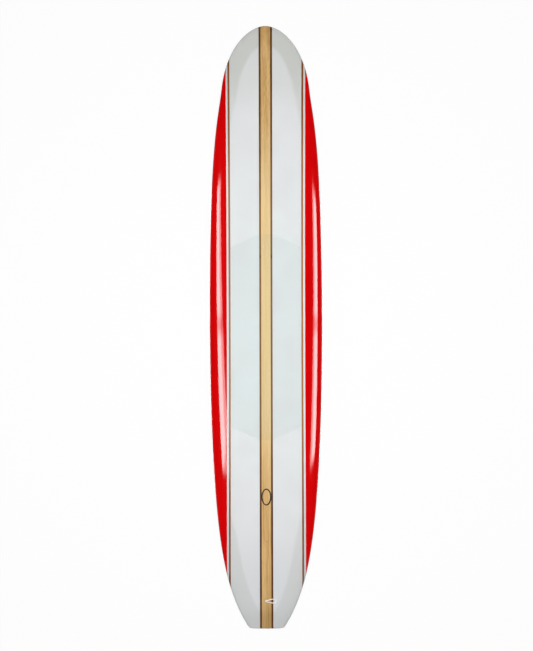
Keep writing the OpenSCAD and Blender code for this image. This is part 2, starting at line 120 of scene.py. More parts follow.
@dataclass(frozen=True)
class Sections:
    """Cuts across the board from nose to tail, with one value of each array to a cut."""

    y: np.ndarray
    half_width: np.ndarray
    bottom: np.ndarray
    apex: np.ndarray
    deck: np.ndarray
    deck_powers: Span = (2.6, 2.8)
    bottom_powers: Span = (3.6, 3.2)

    @property
    def arrays(self) -> tuple[np.ndarray, ...]:
        """The arrays in the order of the fields."""
        return self.y, self.half_width, self.bottom, self.apex, self.deck

    def wider_than(self, x: float) -> Sections:
        """Returns the cuts that reach a line at x."""
        return Sections(*(values[self.half_width > x - MERGE / 2] for values in self.arrays))

    def closed(self) -> Sections:
        """Returns the cuts with one more at the tail block, squeezed flat at the apex."""
        last = (self.y[-1], self.half_width[-1], *[self.apex[-1]] * 3)
        return Sections(*(np.append(values, value) for values, value in zip(self.arrays, last)))

    def columns(
        self, start: float | np.ndarray, end: float | np.ndarray, count: int, face: Face = Face.DECK
    ) -> np.ndarray:
        """Spaces columns across each cut, closer together towards the rail.

        Args:
            start: Where the columns start, on one line or at each cut.
            end: Where they end. Both are held inside the rail.
            count: The number of columns.
            face: The face whose curve sets the spacing.

        Returns:
            A row of x for each cut.
        """
        power = self._powers(face)[0]
        width = np.maximum(self.half_width, TINY)[:, None]

        def angle(x: float | np.ndarray) -> np.ndarray:
            share = np.clip(np.broadcast_to(x, self.y.shape)[:, None] / width, -1, 1)
            return np.sign(share) * np.arcsin(np.abs(share) ** (power / 2))

        steps = np.linspace(0, 1, count)[None, :]
        turned = angle(start) * (1 - steps) + angle(end) * steps
        return width * np.sign(turned) * np.abs(np.sin(turned)) ** (2 / power)

    def _powers(self, face: Face) -> Span:
        """Returns the powers of a face's curve."""
        return self.deck_powers if face is Face.DECK else self.bottom_powers

    def net(self, x: np.ndarray, face: Face) -> np.ndarray:
        """Lays columns on a face.

        Args:
            x: A row of x for each cut.
            face: The face to lay them on.

        Returns:
            The points, as cuts by columns by three.
        """
        share = np.abs(x) / np.maximum(self.half_width, TINY)[:, None]
        edge = self.deck if face is Face.DECK else self.bottom
        z = self.apex[:, None] + (edge - self.apex)[:, None] * bulge(share, self._powers(face))
        return np.stack([x, np.broadcast_to(self.y[:, None], x.shape), z], axis=-1)


@dataclass(frozen=True)
class BoardShape:
    """The board's outline, rocker and foil, and the lines between its panels."""

    length: float = 2.997
    width: float = 0.578
    thick: float = 0.079
    nose_thick: float = 0.016
    tail_thick: float = 0.030
    nose_rocker: float = 0.140
    tail_rocker: float = 0.089
    rocker_low: float = -0.020
    wide_point: float = 0.050
    mark: float = 0.3048
    nose_width: float = 0.443
    nose_angle: float = math.radians(7)
    tail_width: float = 0.421
    tail_angle: float = math.radians(12.5)
    block_width: float = 0.176
    block_angle: float = math.radians(34)
    balsa_x: float = 0.0238
    redwood_x: float = 0.0333
    offset_in: float = 0.1795
    offset_out: float = 0.1890
    panel_x: float = 0.1985
    deck_skin: float = 0.0012
    bottom_skin: float = 0.0009
    rail_skin: float = 0.0010
    core_gap: float = 0.00008
    apex_share: float = 0.45
    tip_round: float = 0.070
    tip_powers: Span = (2.6, 2.8)
    nose_rocker_power: float = 2.6
    tail_rocker_power: int = 2
    nose_foil_power: float = 3.3
    tail_foil_power: int = 3
    corner_round: float = 0.008
    edge_round: float = 0.005
    edge_drop_share: float = 0.6
    lap: float = 0.054
    nose_lap: float = 0.039
    nose_lap_start: float = 0.88
    tail_lap: float = 0.033
    tail_lap_start: float = 0.80
    tail_lap_run: float = 0.25
    handles: tuple[Span, ...] = ((0.16, 0.85), (0.11, 0.78), (0.24, 0.26), (0.25, 0.45))
    curve_samples: int = 3000
    rim_samples: int = 800
    block_samples: int = 60
    curve_stations: tuple[int, ...] = (72, 56, 60, 36)
    corner_stations: int = 12
    station_clear: float = 2e-4

    @property
    def half(self) -> float:
        """Half the board's length."""
        return self.length / 2

    @cached_property
    def curves(self) -> list[np.ndarray]:
        """The four Bezier curves of the starboard outline, from nose tip to tail block."""

        def aft(angle: float) -> np.ndarray:
            return np.array([math.sin(angle), -math.cos(angle)])

        fore_run = self.half - self.mark - self.wide_point
        aft_run = self.half - self.mark + self.wide_point
        # Each knot, with the way the outline leaves it
        knots = [
            (np.array([0, self.half]), np.array([1, 0])),
            (np.array([self.nose_width / 2, self.half - self.mark]), aft(self.nose_angle)),
            (np.array([self.width / 2, self.wide_point]), aft(0)),
            (np.array([self.tail_width / 2, self.mark - self.half]), aft(-self.tail_angle)),
            (np.array([self.block_width / 2, -self.half]), aft(-self.block_angle)),
        ]
        # What the two handles of each curve are shares of
        runs = [
            (self.nose_width / 2, self.mark), (fore_run, fore_run),
            (aft_run, aft_run), (self.mark, self.mark),
        ]
        curves = []
        for (start, out), (end, into), run, share in zip(knots, knots[1:], runs, self.handles):
            first, second = (r * s for r, s in zip(run, share))
            curves.append(np.array([start, start + first * out, end - second * into, end]))
        return curves

    @staticmethod
    def on_curve(curve: np.ndarray, share: np.ndarray) -> np.ndarray:
        """Returns points on a Bezier curve."""
        s = share[:, None]
        return (
            (1 - s) ** 3 * curve[0]
            + 3 * (1 - s) ** 2 * s * curve[1]
            + 3 * (1 - s) * s**2 * curve[2]
            + s**3 * curve[3]
        )

    @cached_property
    def outline(self) -> np.ndarray:
        """The starboard outline as close points, with the corner of the tail block rounded."""
        steps = np.linspace(0, 1, self.curve_samples)
        runs = [self.on_curve(curve, steps) for curve in self.curves[:-1]]
        # The points crowd together towards the corner of the tail block
        runs.append(self.on_curve(self.curves[-1], 1 - (1 - steps) ** 3))
        points = np.concatenate([runs[0]] + [r[1:] for r in runs[1:]])
        short = np.clip(1 - (points[:, 1] + self.half) / self.corner_round, 0, 1)
        points[:, 0] -= self.corner_round * (1 - np.sqrt(1 - short**2))
        return points

    def half_width(self, y: np.ndarray) -> np.ndarray:
        """Returns the half width at places along the board."""
        return np.interp(y, self.outline[::-1, 1], self.outline[::-1, 0])

    def outline_y(self, x: float, end: End) -> float:
        """Returns where the outline crosses a line at x, towards one end."""
        run = self.outline[end.value * (self.outline[:, 1] - self.wide_point) >= 0][:: end.value]
        return float(np.interp(x, run[:, 0], run[:, 1]))

    def rocker(self, y: np.ndarray) -> np.ndarray:
        """Returns the height of the bottom's middle at places along the board."""
        fore = np.clip((y - self.rocker_low) / (self.half - self.rocker_low), 0, 1)
        aft = np.clip((self.rocker_low - y) / (self.half + self.rocker_low), 0, 1)
        nose_rise = self.nose_rocker * fore**self.nose_rocker_power
        return nose_rise + self.tail_rocker * aft**self.tail_rocker_power

    def thickness(self, y: np.ndarray) -> np.ndarray:
        """Returns the board's thickness at places along it."""
        u = np.abs(y) / self.half
        tip = bulge(1 - np.clip((self.half - y) / self.tip_round, 0, 1), self.tip_powers)
        fore = tip * (self.nose_thick + (self.thick - self.nose_thick) * (1 - u**self.nose_foil_power))
        aft = self.tail_thick + (self.thick - self.tail_thick) * (1 - u**self.tail_foil_power)
        return np.where(y > 0, fore, aft)

    def skin(self, y: np.ndarray) -> Sections:
        """Returns cuts of the outside of the board."""
        low = self.rocker(y)
        thick = self.thickness(y)
        short = np.clip(1 - (y + self.half) / self.edge_round, 0, 1)
        drop = self.edge_round * (1 - np.sqrt(1 - short**2))
        bottom = low + self.edge_drop_share * drop
        return Sections(y, self.half_width(y), bottom, low + self.apex_share * thick, low + thick - drop)

    def _inside(self, y: np.ndarray, gap: float) -> Sections:
        """Returns cuts that lie a gap further in than the inside of the glass."""
        outer = self.skin(y)
        rail, below, above = (skin + gap for skin in (self.rail_skin, self.bottom_skin, self.deck_skin))
        return Sections(
            y * (1 - 2 * rail / self.length),
            outer.half_width * (1 - 2 * rail / self.width),
            outer.bottom + np.minimum(below, outer.apex - outer.bottom),
            outer.apex,
            outer.deck - np.minimum(above, outer.deck - outer.apex),
        )

    def core(self, y: np.ndarray) -> Sections:
        """Returns cuts of the blank inside the glass."""
        return self._inside(y, self.core_gap)

    def lining(self, y: np.ndarray) -> Sections:
        """Returns cuts of the inside of the glass."""
        return self._inside(y, 0.0)

    def stations(self, extra: Iterable[float] = ()) -> np.ndarray:
        """Places cuts along the board: close at both ends, and where each line meets the outline.

        Args:
            extra: More places that need a cut.

        Returns:
            The places, from the nose tip to the tail block.
        """
        counts = zip(self.curves, self.curve_stations)
        ys = [self.on_curve(curve, np.linspace(0, 1, count + 1))[:, 1] for curve, count in counts]
        turn = np.linspace(0, math.pi / 2, self.corner_stations)
        ends = -self.half + self.corner_round * (1 - np.cos(turn))
        core_share = 1 - 2 * (self.rail_skin + self.core_gap) / self.width
        lines = [self.panel_x]
        for x in (self.balsa_x, self.redwood_x, self.offset_in, self.offset_out, self.panel_x):
            lines += [x / core_share, x / (1 - 2 * self.rail_skin / self.width)]
        meets = [self.outline_y(x, End.NOSE) for x in lines]
        meets += [self.outline_y(x, End.TAIL) for x in lines if x > self.block_width / 2]
        keep = np.array(sorted({*meets, *extra, self.half, -self.half}, reverse=True))
        spread = np.concatenate([*ys, ends])
        clear = np.abs(spread[:, None] - keep[None, :]).min(axis=1) > self.station_clear
        return np.unique(np.concatenate([keep, spread[clear]]))[::-1]

    def lap_width(self, y: np.ndarray) -> np.ndarray:
        """Returns how far the glass of one face laps over the other, which is further at both ends."""
        fore = np.sqrt(np.clip((y - self.nose_lap_start) / (self.half - self.nose_lap_start), 0, 1))
        aft = np.clip((-y - self.tail_lap_start) / self.tail_lap_run, 0, 1)
        return self.lap + self.nose_lap * fore + self.tail_lap * aft

    def height(self, face: Face, x: float, y: float) -> float:
        """Returns the height of a face at a point."""
        return float(self.skin(np.array([y])).net(np.array([[x]]), face)[0, 0, 2])

    @cached_property
    def rim(self) -> KDTree:
        """A tree of points on the whole outline, for distances to it."""
        side = self.outline[:: max(1, self.curve_samples // self.rim_samples)]
        block = np.linspace(0, side[-1, 0], self.block_samples)
        points = [(x, y) for x, y in side] + [(x, -self.half) for x in block]
        tree = KDTree(2 * len(points))
        for i, (x, y) in enumerate(points):
            tree.insert((x, y, 0), 2 * i)
            tree.insert((-x, y, 0), 2 * i + 1)
        tree.balance()
        return tree


# --- Making meshes ---


def as_object(name: str, shape: Shape) -> Piece:
    """Turns a bmesh into an object at the origin, smooth but for its sharp edges.

    Args:
        name: The piece's name.
        shape: Its finished bmesh, which is freed.

    Returns:
        The new object, in the scene.
    """
    for face in shape.faces:
        face.smooth = True
    for edge in shape.edges:
        edge.smooth = edge.calc_face_angle(0) < SHARP_ANGLE
    mesh = bpy.data.meshes.new(name)
    shape.to_mesh(mesh)
    shape.free()
    made = bpy.data.objects.new(name, mesh)
    bpy.context.scene.collection.objects.link(made)
    return made


def place_on_nets(shape: Shape, verts: Iterable[bmesh.types.BMVert], net: np.ndarray) -> None:
    """Moves the vertices of a unit grid onto a net of points.

    Args:
        shape: The bmesh that holds the grid.
        verts: The grid's vertices, still in the unit square.
        net: The points, as rows by columns by three.
    """
    rows, columns = net.shape[:2]
    for vert in verts:
        row = round((vert.co.y + 0.5) * (rows - 1))
        column = round((vert.co.x + 0.5) * (columns - 1))
        vert.co = net[row, column]
    shape.normal_update()


def lay_up(name: str, over: np.ndarray, under: np.ndarray) -> Piece:
    """Makes a closed piece between two nets of points.

    Args:
        name: The piece's name.
        over: Points on one surface, as rows by columns by three.
        under: The points opposite them on the other surface.

    Returns:
        The new object.
    """
    rows, columns = over.shape[:2]
    shape = bmesh.new()
    bmesh.ops.create_grid(shape, x_segments=columns - 1, y_segments=rows - 1, size=0.5)
    first = shape.verts[:]
    raised = bmesh.ops.extrude_face_region(shape, geom=shape.faces[:])["geom"]
    place_on_nets(shape, first, under)
    place_on_nets(shape, [v for v in raised if isinstance(v, bmesh.types.BMVert)], over)
    bmesh.ops.remove_doubles(shape, verts=shape.verts, dist=MERGE)
    bmesh.ops.dissolve_degenerate(shape, dist=MERGE / 10, edges=shape.edges)
    bmesh.ops.recalc_face_normals(shape, faces=shape.faces)
    return as_object(name, shape)


def rounded_bar(
    width: float, length: float, low: float, high: float, corner: float = 0.0, segments: int = 12
) -> Shape:
    """Makes a bar that stands on the plane of its frame, with its upright edges rounded.

    Args:
        width: Its size along x.
        length: Its size along y.
        low: Where it starts along z.
        high: Where it ends along z.
        corner: The radius of its upright edges.
        segments: The number of facets round each of them.

    Returns:
        The bar's bmesh.
    """
    shape = bmesh.new()
    bmesh.ops.create_cube(shape, size=1)
    bmesh.ops.scale(shape, vec=(width, length, high - low), verts=shape.verts)
    bmesh.ops.translate(shape, vec=(0, 0, (low + high) / 2), verts=shape.verts)
    if corner:
        uprights = [e for e in shape.edges if abs(e.verts[0].co.z - e.verts[1].co.z) > MERGE]
        bmesh.ops.bevel(
            shape, geom=uprights, offset=corner, offset_type="OFFSET",
            segments=segments, profile=0.5, affect="EDGES", material=-1,
        )
    return shape


def cylinder(radius: float, low: float, high: float, segments: int) -> Shape:
    """Makes a cylinder round the z axis of its frame, from one height to another."""
    shape = bmesh.new()
    bmesh.ops.create_cone(
        shape, cap_ends=True, segments=segments, radius1=radius, radius2=radius, depth=high - low
    )
    bmesh.ops.translate(shape, vec=(0, 0, (low + high) / 2), verts=shape.verts)
    return shape


def chamfer(shape: Shape, z: float, offset: float) -> None:
    """Takes off the sharp edges of a shape that lie at one height.

    Args:
        shape: The shape.
        z: The height of the edges.
        offset: How far the chamfer goes in from each edge.
    """
    rim = [
        e for e in shape.edges
        if all(abs(v.co.z - z) < MERGE for v in e.verts) and e.calc_face_angle(0) > SHARP_ANGLE
    ]
    bmesh.ops.bevel(
        shape, geom=rim, offset=offset, offset_type="OFFSET",
        segments=1, profile=0.5, affect="EDGES", material=-1,
    )


def cut(piece: Piece, *cutters: Piece) -> None:
    """Takes some objects' shapes out of another's mesh, and keeps the new edges sharp.

    Args:
        piece: The piece that is cut.
        *cutters: The shapes to take away, which are removed.
    """
    for cutter in cutters:
        modifier = piece.modifiers.new("cut", "BOOLEAN")
        modifier.operation = "DIFFERENCE"
        modifier.solver = "EXACT"
        modifier.object = cutter
    graph = bpy.context.evaluated_depsgraph_get()
    cut_mesh = bpy.data.meshes.new_from_object(piece.evaluated_get(graph))
    piece.modifiers.clear()
    old = piece.data
    piece.data = cut_mesh
    bpy.data.meshes.remove(old)
    cut_mesh.name = piece.name
    for cutter in cutters:
        bpy.data.objects.remove(cutter)
    shape = bmesh.new()
    shape.from_mesh(cut_mesh)
    for edge in shape.edges:
        edge.smooth = edge.smooth and edge.calc_face_angle(0) < SHARP_ANGLE
    shape.to_mesh(cut_mesh)
    shape.free()


def mark_laps(piece: Piece, shape: BoardShape) -> None:
    """Stores how far each vertex is inside the laps and the rim, and which face it is nearer to.

    Args:
        piece: The piece to mark.
        shape: The board's shape.
    """
    verts = piece.data.vertices
    points = np.empty(len(verts) * 3)
    verts.foreach_get("co", points)
    points = points.reshape(-1, 3)
    rim = np.array([shape.rim.find((x, y, 0))[2] for x, y, _ in points])
    under = points[:, 2] < shape.skin(points[:, 1]).apex
    stored = {"lap": rim - shape.lap_width(points[:, 1]), "rim": rim, "under": under.astype(float)}
    for name, values in stored.items():
        piece.data.attributes.new(name, "FLOAT", "POINT").data.foreach_set("value", values)


# --- Wiring materials ---


@dataclass
class Wiring:
    """A node tree being wired, with short ways to add nodes."""

    tree: bpy.types.NodeTree

    def add(self, kind: str, inputs: dict[Any, Any] | None = None, **settings: Any) -> bpy.types.Node:
        """Adds a node.

        Args:
            kind: The node's type.
            inputs: Socket names or numbers, each with a value or a socket to link from.
            **settings: Properties of the node.

        Returns:
            The node.
        """
        node = self.tree.nodes.new(kind)
        for name, value in settings.items():
            setattr(node, name, value)
        return self.feed(node, inputs or {})

    def feed(self, node: bpy.types.Node, inputs: dict[Any, Any]) -> bpy.types.Node:
        """Links or sets a node's inputs, and returns the node."""
        for key, value in inputs.items():
            if isinstance(value, Socket):
                self.tree.links.new(value, node.inputs[key])
            else:
                node.inputs[key].default_value = value
        return node

    def calc(self, kind: str, *values: Any, clamp: bool = False) -> Socket:
        """Returns the result of a Math node on some values or sockets."""
        inputs = dict(enumerate(values))
        return self.add("ShaderNodeMath", inputs, operation=kind, use_clamp=clamp).outputs[0]

    def times(self, first: Any, second: Any) -> Socket:
        """Returns the product of two values."""
        return self.calc("MULTIPLY", first, second)

    def off(self, value: Any, middle: float = 0.0) -> Socket:
        """Returns how far a value lies from a middle."""
        return self.calc("ABSOLUTE", self.calc("SUBTRACT", value, middle) if middle else value)

    def rest(self, value: Any) -> Socket:
        """Returns one less a value."""
        return self.calc("SUBTRACT", 1.0, value)

    def mix(self, share: Any, first: Any, second: Any, blend: str = "MIX") -> Socket:
        """Returns a blend of two colours."""
        inputs = {0: share, 6: first, 7: second}
        return self.add("ShaderNodeMix", inputs, data_type="RGBA", blend_type=blend).outputs[2]

    def tinted(self, tone: Any, tint: Any) -> Socket:
        """Returns a colour multiplied by another."""
        return self.mix(1.0, tone, tint, "MULTIPLY")

    def blend(self, share: Any, first: Any, second: Any) -> Socket:
        """Returns a blend of two shaders."""
        return self.add("ShaderNodeMixShader", {0: share, 1: first, 2: second}).outputs[0]

    def level(self, share: Any, first: Any, second: Any) -> Socket:
        """Returns a blend of two values."""
        return self.add("ShaderNodeMix", {0: share, 2: first, 3: second}, data_type="FLOAT").outputs[0]

    def span(self, value: Any, low: float, high: float, to_low: float = 0, to_high: float = 1) -> Any:
        """Returns a value mapped smoothly from one range to another."""
        inputs = {0: value, 1: low, 2: high, 3: to_low, 4: to_high}
        return self.add("ShaderNodeMapRange", inputs, interpolation_type="SMOOTHSTEP").outputs[0]

    def noise(self, vector: Any, scale: float, detail: float = 2, rough: float = 0.5) -> Socket:
        """Returns the value of a noise texture."""
        inputs = {"Vector": vector, "Scale": scale, "Detail": detail, "Roughness": rough}
        return self.add("ShaderNodeTexNoise", inputs).outputs["Fac"]

    def stretched(self, vector: Any, scale: Place, shift: Place = (0, 0, 0)) -> Socket:
        """Returns coordinates multiplied along each axis and then shifted."""
        inputs = {"Vector": vector, "Scale": scale, "Location": shift}
        return self.add("ShaderNodeMapping", inputs).outputs[0]

    def grey(self, value: Any) -> Socket:
        """Returns a grey of a value's brightness."""
        return self.add("ShaderNodeCombineColor", {0: value, 1: value, 2: value}).outputs[0]

    def place(self) -> Socket:
        """Returns object coordinates, which are metres on the board."""
        return self.add("ShaderNodeTexCoord").outputs["Object"]

    def length(self, vector: Any) -> Socket:
        """Returns the length of a vector."""
        return self.add("ShaderNodeVectorMath", {0: vector}, operation="LENGTH").outputs["Value"]

    def split(self, vector: Any) -> Any:
        """Returns the x, y and z of a vector."""
        return self.add("ShaderNodeSeparateXYZ", {0: vector}).outputs

    def attribute(self, name: str) -> Socket:
        """Returns a mesh attribute's value."""
        return self.add("ShaderNodeAttribute", attribute_name=name).outputs["Fac"]

    def bump(self, height: Any, strength: float, distance: float) -> Socket:
        """Returns a normal raised by a height."""
        inputs = {"Height": height, "Strength": strength, "Distance": distance}
        return self.add("ShaderNodeBump", inputs).outputs[0]

    def lapped_and_shaded(
        self, groups: SharedGroups, base: Any, deck: Colour, bottom: Colour, soft: float = 0.010
    ) -> Socket:
        """Returns a colour darkened under the laps, with painted shade at the rim and where the bottom turns
        up.

        Args:
            groups: The shared patterns.
            base: The colour clear of the laps.
            deck: What the deck's lap multiplies it by.
            bottom: What the bottom's lap multiplies it by.
            soft: Half the width of the lap's soft edge.
        """
        inputs = {
            "Place": self.place(), "Lap": self.attribute("lap"), "Rim": self.attribute("rim"),
            "Under": self.attribute("under"), "Base": base, "Deck": deck, "Bottom": bottom, "Soft": soft,
        }
        return self.group(groups.laps, inputs).outputs["Color"]

    def group(self, tree: bpy.types.NodeTree, inputs: dict[str, Any]) -> bpy.types.Node:
        """Adds a shader group."""
        node = self.tree.nodes.new("ShaderNodeGroup")
        node.node_tree = tree
        return self.feed(node, inputs)


def colour(red: int, green: int, blue: int) -> Colour:
    """Returns the linear colour of a tint given as the eye sees it, from 0 to 255."""

    def linear(value: int) -> float:
        share = value / 255
        return share / 12.92 if share <= 0.04045 else ((share + 0.055) / 1.055) ** 2.4

    return (linear(red), linear(green), linear(blue), 1.0)


def new_group(name: str, inputs: dict[str, str], outputs: dict[str, str]) -> tuple[Wiring, Any, Any]:
    """Starts a shader group.

    Args:
        name: The group's name.
        inputs: Socket names and types.
        outputs: Socket names and types.

    Returns:
        Its wiring, its input node and its output node.
    """
    tree = bpy.data.node_groups.new(name, "ShaderNodeTree")
    for sockets, way in ((inputs, "INPUT"), (outputs, "OUTPUT")):
        for socket, kind in sockets.items():
            tree.interface.new_socket(socket, in_out=way, socket_type=kind)
    wiring = Wiring(tree)
    return wiring, wiring.add("NodeGroupInput"), wiring.add("NodeGroupOutput")


RESIN_IOR = 1.5
# The scale of the waves in the glassed surface
WAVE_SCALE = 6.0
# The distance between the threads of the cloth
THREAD = 0.0012
# The bands, the streaks and the pores of wood: the stretch, the detail, the roughness and the fade of each
GRAIN_LAYERS = (
    ((105, 1.1, 40), 3, 0.55, (0.36, 0.64, 0, 1)),
    ((620, 5, 400), 2, 0.6, (0.35, 0.7, 0, 1)),
    ((1500, 40, 900), 1, 0.5, (0.62, 0.74, 0, 0.35)),
)
# How far the edge of a lap wanders
LAP_WOBBLE = 0.012
# How much of a lap shows towards the nose, along the board
NOSE_LAP_FADE: Ramp = (1.12, 1.30, 0.68, 1.0)
# Painted shade at the very rim, where the surface turns away from the light, by the distance from it
RIM_PAINTED_SHADE: Ramp = (0.003, 0.008, 0.84, 1.0)
# The shade of the bottom where it turns up at the tail, along the board
TAIL_UNDER_SHADE: Ramp = (-1.50, -1.33, 0.42, 0.0)
# The shade of the bottom where it turns up at the rail, by the distance from the rim
RAIL_UNDER_SHADE: Ramp = (0.0, 0.05, 0.10, 0.0)


@dataclass(frozen=True)
class SharedGroups:
    """The patterns that more than one finish uses."""

    grain: bpy.types.NodeTree
    # The lap band, with painted shade at the rim and where the bottom turns up
    laps: bpy.types.NodeTree
    wander: bpy.types.NodeTree
    weave: bpy.types.NodeTree

    @classmethod
    def build(cls) -> SharedGroups:
        """Builds each group once."""
        return cls(cls._grain(), cls._lap_and_shade_group(), cls._wander(), cls._weave())

    @staticmethod
    def _grain() -> bpy.types.NodeTree:
        """Wood grain along the board: broad bands, fine streaks and pores."""
        wiring, given, made = new_group(
            "wood_grain",
            {"Place": VECTOR, "Pale": TINT, "Dark": TINT, "Band": VALUE, "Streak": VALUE},
            {"Color": TINT, "Height": VALUE},
        )
        place = given.outputs["Place"]
        bands, streaks, pores = (
            wiring.span(wiring.noise(wiring.stretched(place, stretch), 1.0, detail, rough), *fade)
            for stretch, detail, rough, fade in GRAIN_LAYERS
        )
        band = wiring.times(bands, given.outputs["Band"])
        streak = wiring.times(streaks, given.outputs["Streak"])
        pore = wiring.times(pores, streak)
        dark = wiring.calc("ADD", wiring.calc("ADD", band, streak), pore, clamp=True)
        blend = wiring.mix(dark, given.outputs["Pale"], given.outputs["Dark"])
        wiring.tree.links.new(blend, made.inputs["Color"])
        wiring.tree.links.new(dark, made.inputs["Height"])
        return wiring.tree

    @staticmethod
    def _lap_and_shade_group() -> bpy.types.NodeTree:
        """The darker band where the glass of one face laps over the other, and painted shade at the rim and
        where the bottom turns up.
        """
        wiring, given, made = new_group(
            "lap_band",
            {
                "Place": VECTOR, "Lap": VALUE, "Rim": VALUE, "Under": VALUE,
                "Base": TINT, "Deck": TINT, "Bottom": TINT, "Soft": VALUE,
            },
            {"Color": TINT},
        )
        place, lap, rim, under, base, deck, bottom, soft = given.outputs[:8]
        wobble = wiring.noise(place, scale=9.0, detail=2)
        wobble = wiring.calc("MULTIPLY_ADD", wobble, LAP_WOBBLE, -LAP_WOBBLE / 2)
        mask = wiring.span(wiring.calc("ADD", lap, wobble), wiring.times(soft, -1), soft, 1, 0)
        y = wiring.split(place)[1]
        tint = wiring.mix(wiring.span(y, *NOSE_LAP_FADE), WHITE, wiring.mix(under, deck, bottom))
        soaked = wiring.mix(mask, base, wiring.tinted(base, tint))
        # Painted shade: darker at the very rim, and on the bottom where it turns up at the tail and at the
        # rail
        tail, rail = wiring.span(y, *TAIL_UNDER_SHADE), wiring.span(rim, *RAIL_UNDER_SHADE)
        turned = wiring.calc("ADD", tail, rail)
        shade = wiring.times(wiring.span(rim, *RIM_PAINTED_SHADE), wiring.rest(wiring.times(turned, under)))
        wiring.tree.links.new(wiring.tinted(soaked, wiring.grey(shade)), made.inputs["Color"])
        return wiring.tree

    @staticmethod
    def _wander() -> bpy.types.NodeTree:
        """The slow waves that hand sanding leaves in a glassed surface."""
        wiring, given, made = new_group(
            "sanded_waves",
            {"Place": VECTOR, "Scale": VALUE},
            {"Height": VALUE},
        )
        place = wiring.add("ShaderNodeVectorMath", {0: given.outputs["Place"]}, operation="SCALE")
        wiring.tree.links.new(given.outputs["Scale"], place.inputs["Scale"])
        waves = wiring.stretched(place.outputs[0], (2.2, 1, 2.2))
        waves = wiring.noise(waves, scale=1.0, detail=2, rough=0.4)
        wiring.tree.links.new(waves, made.inputs["Height"])
        return wiring.tree

    @staticmethod
    def _weave() -> bpy.types.NodeTree:
        """Plain woven glass cloth: threads along and across that pass over one another."""
        wiring, given, made = new_group(
            "glass_cloth",
            {"Place": VECTOR, "Thread": VALUE},
            {"Height": VALUE},
        )
        turns = wiring.calc("DIVIDE", math.pi, given.outputs["Thread"])
        x, y, _ = wiring.split(given.outputs["Place"])
        across, along = (wiring.calc("SINE", wiring.times(way, turns)) for way in (x, y))
        over = wiring.calc("MULTIPLY_ADD", wiring.times(across, along), 0.5, 0.5)
        wiring.tree.links.new(over, made.inputs["Height"])
        return wiring.tree


class Material:
    """A material with an empty tree and an output."""

    def __init__(self, name: str) -> None:
        """Starts a material by name."""
        self.made = bpy.data.materials.new(name)
        self.made.use_nodes = True
        self.made.node_tree.nodes.clear()
        self.wiring = Wiring(self.made.node_tree)
        self.output = self.wiring.add("ShaderNodeOutputMaterial")

    def surface(self, shader: Socket) -> bpy.types.Material:
        """Puts a shader on the surface and returns the finished material."""
        self.wiring.tree.links.new(shader, self.output.inputs["Surface"])
        return self.made

    def principled(self, tone: Any, normal: Any, rough: Any, **inputs: Any) -> Socket:
        """Adds a Principled BSDF.

        Args:
            tone: Its base colour.
            normal: Its normal.
            rough: Its roughness.
            **inputs: Its other inputs, with underscores for the blanks in their names.

        Returns:
            Its output.
        """
        named = {key.replace("_", " "): value for key, value in inputs.items()}
        named |= {"Base Color": tone, "Roughness": rough, "Normal": normal}
        return self.wiring.add("ShaderNodeBsdfPrincipled", named).outputs[0]

    def coated(self, tone: Any, normal: Any, rough: Any, **inputs: Any) -> bpy.types.Material:
        """Puts one Principled BSDF on the surface and returns the finished material."""
        return self.surface(self.principled(tone, normal, rough, **inputs))


@dataclass(frozen=True)
class WoodFinish:
    """Wood under glass, with its grain along the board."""

    name: str
    pale: Colour
    dark: Colour
    band: float
    streak: float
    lap: Colour
    middle_cream: float = 0.0
    cream: Colour = colour(245, 223, 170)
    cream_middle_y: float = 0.10
    cream_fade: Span = (0.46, 1.06)
    knot: Span | None = None
    knot_squash: float = 0.6
    knot_fade: Ramp = (0.0008, 0.0042, 0.75, 0)
    nick_y: float | None = None
    nick_fade: Ramp = (0.003, 0.009, 0.7, 0)
    blush: Colour = WHITE
    blush_reach: Span = (0.55, 1.15)
    # Painted shade towards the tail block: how much of the colour is left at the end, and where it darkens
    tail_end_shade: float = 1.0
    tail_end_shade_reach: Span = (-1.47, -1.30)
    lap_soft: float = 0.028
    rough: float = 0.55

    def make(self, groups: SharedGroups) -> bpy.types.Material:
        """Builds the wood's material."""
        material = Material(self.name)
        wiring = material.wiring
        place = wiring.place()
        look = {"Pale": self.pale, "Dark": self.dark, "Band": self.band, "Streak": self.streak}
        grain = wiring.group(groups.grain, {"Place": place, **look})
        tone = grain.outputs["Color"]
        y = wiring.split(place)[1]
        # Paler and creamier towards the middle of the board along its length
        if self.middle_cream:
            creamed = wiring.span(wiring.off(y, self.cream_middle_y), *self.cream_fade, self.middle_cream, 0)
            tone = wiring.mix(creamed, tone, self.cream)
        if self.knot:
            x_0, y_0 = self.knot
            ring = wiring.stretched(place, (1, self.knot_squash, 0), (-x_0, -y_0 * self.knot_squash, 0))
            tone = wiring.mix(wiring.span(wiring.length(ring), *self.knot_fade), tone, self.dark)
        if self.nick_y is not None:
            tone = wiring.mix(wiring.span(wiring.off(y, self.nick_y), *self.nick_fade), tone, self.dark)
        blush = wiring.times(wiring.span(y, *self.blush_reach), wiring.attribute("under"))
        tone = wiring.mix(blush, tone, wiring.tinted(tone, self.blush))
        # Painted shade: darker towards the tail block
        tone = wiring.tinted(tone, wiring.grey(wiring.span(y, *self.tail_end_shade_reach, self.tail_end_shade, 1)))
        lap = wiring.lapped_and_shaded(groups, tone, self.lap, self.lap, self.lap_soft)
        normal = wiring.bump(grain.outputs["Height"], strength=0.15, distance=0.0003)
        return material.coated(lap, normal, self.rough, Specular_IOR_Level=0.15)


